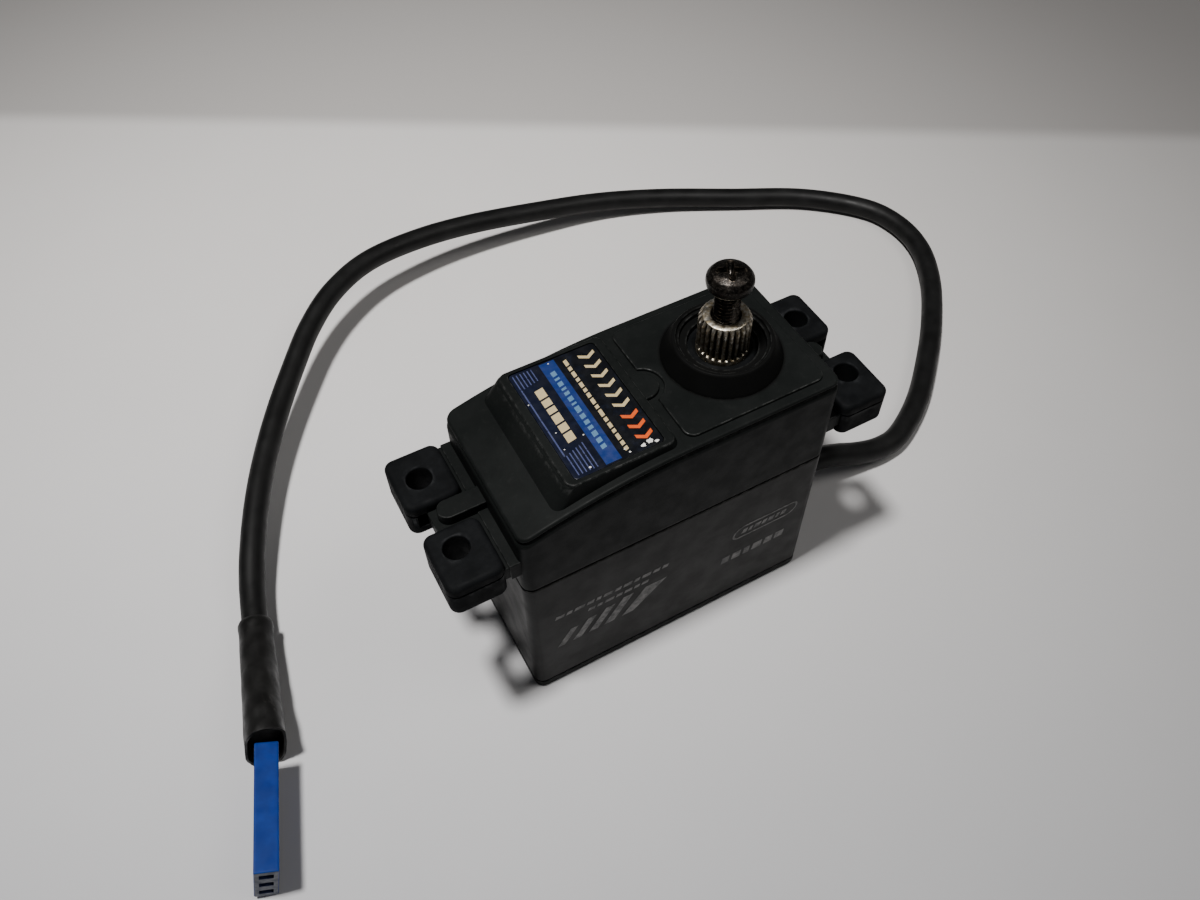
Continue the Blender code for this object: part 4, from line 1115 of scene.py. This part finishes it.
def make_label():
    """The label: film plus printed shapes that say nothing, in the photo's colours and places."""
    left, low, right, high = LABEL_RECESS
    x0, y0 = left + LABEL_GAP, high - LABEL_GAP
    length, width = right - left - 2 * LABEL_GAP, high - low - 2 * LABEL_GAP
    plate = soft_prism("label_film", rounded(x0, y0 - width, x0 + length, y0, 0.45), LABEL_PAD_TOP - 0.25,
                       LABEL_FACE, 0.03, 0.03, 2, 0.1)
    dress(plate, "case", "film", ["label_plate"])

    def place(u, v):
        return (x0 + length * u, y0 - width * v)

    looks = ["blue", "cream", "orange", "sky", "line", "chip_white"]
    marks = []

    def bar(u0, u1, v0, v1, look, lean=0.0, height=0.018):
        loop = [place(u0, v0), place(u1, v0 + lean), place(u1, v1 + lean), place(u0, v1)]
        marks.append(flat_print("bar", loop, looks.index(look), height))

    def row(u0, u1, v, sizes, gap, look, lean, height=0.018):
        for size in sizes:
            bar(u0, u1, v, v + size, look, lean, height)
            v += size + gap

    def chevron(u0, u1, v, size, thick, look):
        middle = (u0 + u1) / 2
        loop = [place(u0, v), place(u0, v + thick), place(middle, v + size + thick), place(u1, v + thick),
                place(u1, v), place(middle, v + size)]
        marks.append(flat_print("chevron", loop, looks.index(look), 0.022))

    bar(0.350, 0.525, 0.012, 0.988, "blue")
    for n in range(6):
        chevron(0.770, 0.955, 0.060 + 0.100 * n, 0.034, 0.028, "cream")
    for n in range(3):
        chevron(0.770, 0.955, 0.672 + 0.096 * n, 0.034, 0.030, "orange")
    row(0.600, 0.642, 0.060,
        (0.055, 0.035, 0.05, 0.03, 0.045, 0.03, 0.04, 0.05, 0.03, 0.06, 0.035, 0.045, 0.03, 0.05,
                              0.035, 0.03), 0.016, "cream", -0.008)
    row(0.408, 0.466, 0.115,
        (0.045, 0.02, 0.04, 0.02, 0.03, 0.04, 0.018, 0.055, 0.04, 0.035, 0.03, 0.045, 0.04, 0.035),
        0.020, "sky", -0.008, 0.024)
    row(0.150, 0.250, 0.215, (0.085, 0.062, 0.052, 0.078, 0.066, 0.078), 0.016, "cream", -0.012)
    for n in range(6):
        u = 0.035 + 0.042 * n
        bar(u, u + 0.012, 0.02, 0.165 - 0.006 * n, "line")
        bar(u + 0.02, u + 0.032, 0.800 - 0.010 * n, 0.975, "line")
    bar(0.035, 0.050, 0.165, 0.800, "line")
    for u, v, size in ((0.87, 0.955, 0.40), (0.79, 0.965, 0.26), (0.93, 0.975, 0.22), (0.63, 0.970, 0.12),
                       (0.60, 0.935, 0.09), (0.20, 0.955, 0.13), (0.33, 0.70, 0.08), (0.10, 0.60, 0.08),
                       (0.08, 0.75, 0.07), (0.45, 0.030, 0.09), (0.02, 0.30, 0.07)):
        cx, cy = place(u, v)
        loop = []
        for k in range(11):
            a = 2 * math.pi * k / 11
            r = size * (0.55 + 0.55 * random.random())
            loop.append((min(max(cx + r * 1.3 * math.cos(a), x0 + 0.1), x0 + length - 0.12),
                         min(max(cy + r * math.sin(a), y0 - width + 0.12), y0 - 0.1)))
        marks.append(flat_print("chip", loop, looks.index("chip_white"), 0.028))
    prints = merge_with_looks(marks, looks)
    prints.name = "label_print"
    dress(prints, "case", looks, weighted=False)


def merge_with_looks(items, looks):
    merged = merge(items)
    for name in looks:
        merged.data.materials.append(LOOKS[name])
    return merged


# ---- grommets ----
def make_grommets():
    names = {(-1, -1): "grommet_rear_right", (-1, 1): "grommet_rear_left",
             (1, -1): "grommet_front_right", (1, 1): "grommet_front_left"}
    low = EAR_LOW - 0.12
    high = EAR_HIGH + 0.12
    for (side, end), node in names.items():
        inside, outside = (1.45, 9.15) if end > 0 else (2.05, 9.9)
        xs = sorted((side * GROMMET_INNER_X, side * GROMMET_OUTER_X))
        ys = sorted((end * inside, end * outside))
        outline = rounded(xs[0], ys[0], xs[1], ys[1], 1.15, 8)
        rubber = soft_prism(node + "_rubber", outline, GROMMET_LOW, GROMMET_HIGH, 0.62, 0.45, 6, 0.12)
        cx = side * HOLE_X
        cy = end * HOLE_Y
        slot_x = sorted((side * 21.0, side * 27.15))
        slot_y = sorted((end * 1.0, end * 9.3))
        slot = block("slot", (slot_x[0], slot_y[0], low), (slot_x[1], slot_y[1], high))
        neck_x = sorted((side * 22.8, side * 28.0))
        combine(slot, [block("neck", (neck_x[0], cy - 2.2, low - 1), (neck_x[1], cy + 2.2, high + 1))])
        # a moulding groove runs round the block, just under its upper half
        ring = outline(0.16)
        outer = outline(-0.6)
        groove = skin("groove", [at_height(ring, high - 0.28), at_height(outer, high - 0.28),
                                 at_height(outer, high), at_height(ring, high),
                                 at_height(ring, high - 0.28)], caps=False)
        # the hole's rims are just broken, not flared
        flare = [(0.0, 33.0), (1.60, 33.0), (1.55, GROMMET_HIGH + 0.02), (1.47, GROMMET_HIGH - 0.08),
                 (GROMMET_HOLE_RADIUS, GROMMET_HIGH - 0.25), (GROMMET_HOLE_RADIUS, GROMMET_LOW + 0.25),
                 (1.47, GROMMET_LOW + 0.08),
                 (1.55, GROMMET_LOW - 0.02), (1.60, 25.0), (0.0, 25.0)]
        combine(rubber, [slot, groove, turned("hole", flare, cx, cy, 48)])
        dress(rubber, "case", "rubber", [node])


# ---- output shaft and its screw ----
def make_spline():
    """The splined end in full detail, on a plain stem that runs down to the gear's top."""
    around = SPLINE_TEETH * 12
    rings = []
    crests = []
    tip, root = 2.96, 2.60
    levels = [(39.0, 0.0, 2.98), (39.50, 0.0, 2.98), (39.62, 0.0, 2.90), (39.70, 1.0, 0.0), (39.9, 1.0, 0.0),
              (41.5, 1.0, 0.0), (43.0, 1.0, 0.0), (43.42, 1.0, 0.0), (43.55, 1.0, -0.04),
              (43.80, 1.0, -0.16),
              (44.02, 1.0, -0.32), (SPLINE_TOP - 0.06, 0.0, 2.58), (SPLINE_TOP, 0.0, 2.50),
              (SPLINE_TOP, 0.0, 1.80), (SPLINE_TOP - 0.05, 0.0, 1.70), (SPLINE_TOP - 0.3, 0.0, 1.60),
              (42.0, 0.0, 1.58), (40.5, 0.0, 1.58)]
    for z, toothed, extra in levels:
        row = []
        for i in range(around):
            phase = (i % 12) / 12
            height = 1 - abs(2 * phase - 1)
            height = min(1.0, max(0.0, (height - 0.16) / 0.56))
            angle = 2 * math.pi * i / around
            if toothed >= 1.0:
                r = root + (tip - root) * height
                r = min(r, tip + extra) if extra < 0 else r
                shine = height
            else:
                r = extra
                shine = 0.95 if z > 43.9 and extra > 1.65 else 0.72 if z < 39.65 and extra > 2.0 else 0.2
            row.append((OUTPUT_X + r * math.cos(angle), r * math.sin(angle), z))
            crests.append(min(1.0, shine * (1.15 if z > 43.4 else 0.75 if z > 39.65 else 1.0)))
        rings.append(row)
    spline = skin("spline_end", rings)
    if len(spline.data.vertices) == len(crests):
        store(spline.data, "crest", crests)
    dress(spline, "output", "spline", ["output_shaft"], 40, weighted=False)
    make_output_gear()


def involute(angle):
    return math.tan(angle) - angle


def make_output_gear():
    """The stem and 30-tooth gear inside the case, in the CAD's own sizes."""
    pressure = math.radians(25)
    teeth, module = 30, 0.5
    pitch = teeth * module / 2
    base = pitch * math.cos(pressure)
    tip, root = pitch + 0.8 * module, pitch - 1.05 * module
    half = (math.pi * module / 4 - 0.03) / pitch + involute(pressure)
    radii = [max(base, root) + (tip - max(base, root)) * k / 5 for k in range(6)]
    flank = [(r, half - involute(math.acos(min(1.0, base / r)))) for r in radii]
    if root < base:
        flank.insert(0, (root, flank[0][1]))
    loop = []
    for number in range(teeth):
        middle = math.radians(180 + 180 / teeth) + 2 * math.pi * number / teeth
        loop += [(OUTPUT_X + r * math.cos(middle - a), r * math.sin(middle - a)) for r, a in flank]
        loop += [(OUTPUT_X + r * math.cos(middle + a), r * math.sin(middle + a)) for r, a in reversed(flank)]
    wheel = plain_prism("output_wheel", loop, 32.5, 34.8)
    profile = [(0.0, 38.95), (2.95, 38.95), (3.0, 38.9), (3.0, 34.6), (2.6, 34.6), (2.6, 32.4), (1.2, 32.4),
               (1.2, 24.1),
               (1.1, 24.0), (0.75, 24.0), (0.75, 25.8), (0.0, 25.8)]
    combine(wheel, [turned("stem", profile, OUTPUT_X, 0.0, 64)], "UNION")
    dress(wheel, "output", "steel", weighted=False)


def make_horn_screw():
    """M3 pan-head screw: a real thread, a rounded head with pale specks (partly painted glints) and a worn
    cross recess.
    """
    around = 48
    points = [(0.05, 50.5), (1.30, 50.44), (2.12, 50.10), (2.56, 49.5), (2.60, 49.05), (2.50, 48.5),
              (2.20, 48.15),
              (1.45, 48.1)]
    rows = [[r] * around + [z] for r, z in round_corners(points, [0, 0.9, 0.7, 0.5, 0.5, 0.4, 0.15, 0.0], 4)]
    pitch, outer, depth = 0.5, 1.46, 0.27
    low, high = 41.0, 48.0
    turns = round((high - low) / pitch * 8)
    for step in range(turns + 1):
        z = high - (high - low) * step / turns
        fade = min(1.0, (z - low) / 0.6, (high - z) / 0.35)
        radii = []
        for i in range(around):
            phase = (z / pitch - i / around) % 1.0
            cut = min(1.0, abs(2 * phase - 1) * 1.25)
            radii.append(outer - depth * (cut * fade + (1 - fade) * 0.75))
        rows.append(radii + [z])
    rows.append([0.8] * around + [low - 0.2])
    rings = []
    for *radii, z in rows:
        angles = [2 * math.pi * i / around for i in range(around)]
        rings.append([(OUTPUT_X + r * math.cos(a), r * math.sin(a), z) for r, a in zip(radii, angles)])
    screw = skin("retaining_screw", rings)
    levels = []
    for depth, reach, half_width in ((0.0, 1.88, 0.42), (0.35, 1.62, 0.35), (0.9, 1.10, 0.26),
                                     (1.4, 0.62, 0.17)):
        z = 50.7 - depth
        loop = []
        for number in range(4):
            angle = math.radians(62 + 90 * number)
            arm = [*arc(reach - half_width, 0.0, half_width, -90, 90, 8), (half_width, half_width)]
            loop += [(OUTPUT_X + x * math.cos(angle) - y * math.sin(angle),
                      x * math.sin(angle) + y * math.cos(angle), z) for x, y in arm]
        levels.append(loop)
    combine(screw, [skin("cross_recess", levels)])
    dress(screw, "output", "screw", ["horn_screw"], 50, weighted=False)


def make_gland():
    """The strain relief: a flanged rubber block in the wall and a ribbed, tapering nose."""
    z = CABLE_EXIT_Z
    body = soft_prism("gland_block", rounded(18.3, -2.4, 20.6, 2.4, 0.25, 4), z - 2.4, z + 2.4, 0.2, 0.2, 3,
                      0.1)
    flange = soft_prism("gland_flange", rounded(17.4, -3.3, 18.5, 3.3, 0.25, 4), z - 2.9, z + 3.1, 0.2, 0.2,
                        3, 0.1)
    points = [(0.0, 20.2), (2.35, 20.2), (2.35, 20.75), (2.7, 20.9), (2.62, 21.9), (2.25, 22.0),
              (2.25, 22.45),
              (2.56, 22.55), (2.48, 23.5), (2.12, 23.6), (2.12, 24.05), (2.42, 24.15), (2.34, 25.1),
              (2.05, 25.25),
              (1.95, 26.0), (1.74, 26.05), (0.0, 26.05)]
    nose = turned("gland_nose", round_corners(points, [0, 0] + [0.06] * 13 + [0, 0], 2), 0.0, 0.0, 48)
    nose.data.transform(Matrix.Translation((0.0, 0.0, z)) @ Matrix.Rotation(math.pi / 2, 4, "Y"))
    combine(body, [flange, nose], "UNION")
    body.name = "strain_relief"
    dress(body, "case", "rubber", ["cable_gland"])


make_bottom_cover()
make_middle_case()
make_side_print()
make_gear_case()
make_top_cover()
make_label()
make_grommets()
make_spline()
make_horn_screw()
make_gland()

# ---- CAD nodes that stay, with better materials ----
KEPT = {
    "rubber": ["shaft_seal", "lower_seal", "upper_seal"],
    "steel": ["first_gear", "second_gear", "third_gear"],
    "screw": ["case_screw_rear_right", "case_screw_rear_left", "case_screw_front_right",
              "case_screw_front_left",
              "motor_screw_left", "motor_screw_right"],
    "ground": ["gear_pin", "upper_bearing_outer_race", "upper_bearing_inner_race",
               "lower_bearing_outer_race",
               "lower_bearing_inner_race", "motor_shaft", "motor_upper_bearing", "motor_lower_bearing",
               "sensor_shaft"],
    "brass": ["gear_spacer", "motor_pinion", "contact_1", "contact_2", "contact_3"],
    "can": ["motor_can", "capacitor"],
    "aluminium": ["motor_end_cap"],
    "winding": ["stator_winding"],
    "magnet": ["rotor_magnet"],
    "board": ["control_board"],
    "chip": ["controller_chip", "power_transistor_1", "power_transistor_2", "power_transistor_3",
             "position_sensor"],
}
for look, names in KEPT.items():
    for name in names:
        slots = NODES[name].data.materials
        slots.clear()
        slots.append(LOOKS[look])


# ---- stage ----
def make_floor():
    """A pale sheet that turns grey past a soft line behind the servo, and darkens a little all round:
    painted fall-off of the lamps' light.
    """
    made, tree, shader = new_material("paper", (0.6, 0.6, 0.6), 0.8)
    place = coordinates(tree)
    past = add(tree, "ShaderNodeVectorMath", "Value", {"operation": "DOT_PRODUCT"}, _0=place,
               _1=(0.517, 0.856, 0.0))
    far = ramp(tree, past, 0.0985, 0.1045)
    centred = add(tree, "ShaderNodeVectorMath", "Vector", {"operation": "SUBTRACT"}, _0=place,
                  _1=(-0.012, 0.072, 0.0))
    away = add(tree, "ShaderNodeVectorMath", "Value", {"operation": "LENGTH"}, _0=centred)
    # painted light: the sheet is brightest near a point behind the servo and darkens away from it
    light = ramp(tree, away, 0.02, 0.20, 1.0, 0.34)
    mottled = grain(tree, 30.0, 4.0, 0.6)
    # painted tint of the lamps' light: cooler towards the camera, warmer towards the back
    depth = ramp(tree, past, -0.09, 0.09)
    cool = blend(tree, mottled, (0.575, 0.580, 0.605), (0.620, 0.622, 0.642))
    warm = blend(tree, mottled, (0.640, 0.622, 0.610), (0.680, 0.662, 0.652))
    near_colour = blend(tree, depth, cool, warm)
    sheet = blend(tree, far, near_colour, (0.43, 0.415, 0.405))
    shaded = add(tree, "ShaderNodeVectorMath", "Vector", {"operation": "SCALE"}, _0=sheet, Scale=light)
    paint(tree, shader, shaded)
    bump(tree, shader, grain(tree, 0.5, 4.0, 0.7), 0.01, 0.5)
    floor = skin("floor", [[(-1500, -1500, 0), (-1500, 1500, 0)], [(1500, -1500, 0), (1500, 1500, 0)]],
                 cyclic=False, caps=False)
    floor.data.transform(Matrix.Scale(MM, 4))
    if floor.data.polygons[0].normal.z < 0:
        floor.data.flip_normals()
    floor.data.materials.append(made)


def area_light(name, place, target, size, power, colour):
    data = bpy.data.lights.new(name, "AREA")
    data.shape = "DISK"
    data.size = size
    data.energy = power
    data.color = colour
    item = bpy.data.objects.new(name, data)
    item.location = place
    item.rotation_mode = "QUATERNION"
    item.rotation_quaternion = (Vector(target) - Vector(place)).to_track_quat("-Z", "Y")
    bpy.context.scene.collection.objects.link(item)


def make_lights():
    area_light("key", (-0.090, 0.000, 0.44), (0.0, 0.01, 0.0), 0.048, 2.85, (1.0, 0.985, 0.965))
    area_light("second", (0.22, -0.16, 0.42), (0.0, 0.02, 0.0), 0.24, 0.52, (1.0, 0.975, 0.94))
    area_light("front_fill", (-0.25, -0.55, 0.40), (0.0, 0.0, 0.02), 0.50, 0.10, (0.93, 0.96, 1.0))
    world = bpy.data.worlds.new("studio")
    bpy.context.scene.world = world
    world.use_nodes = True
    sky = world.node_tree.nodes["Background"]
    sky.inputs["Color"].default_value = (0.96, 0.97, 1.0, 1.0)
    sky.inputs["Strength"].default_value = 0.05


make_floor()
make_lights()
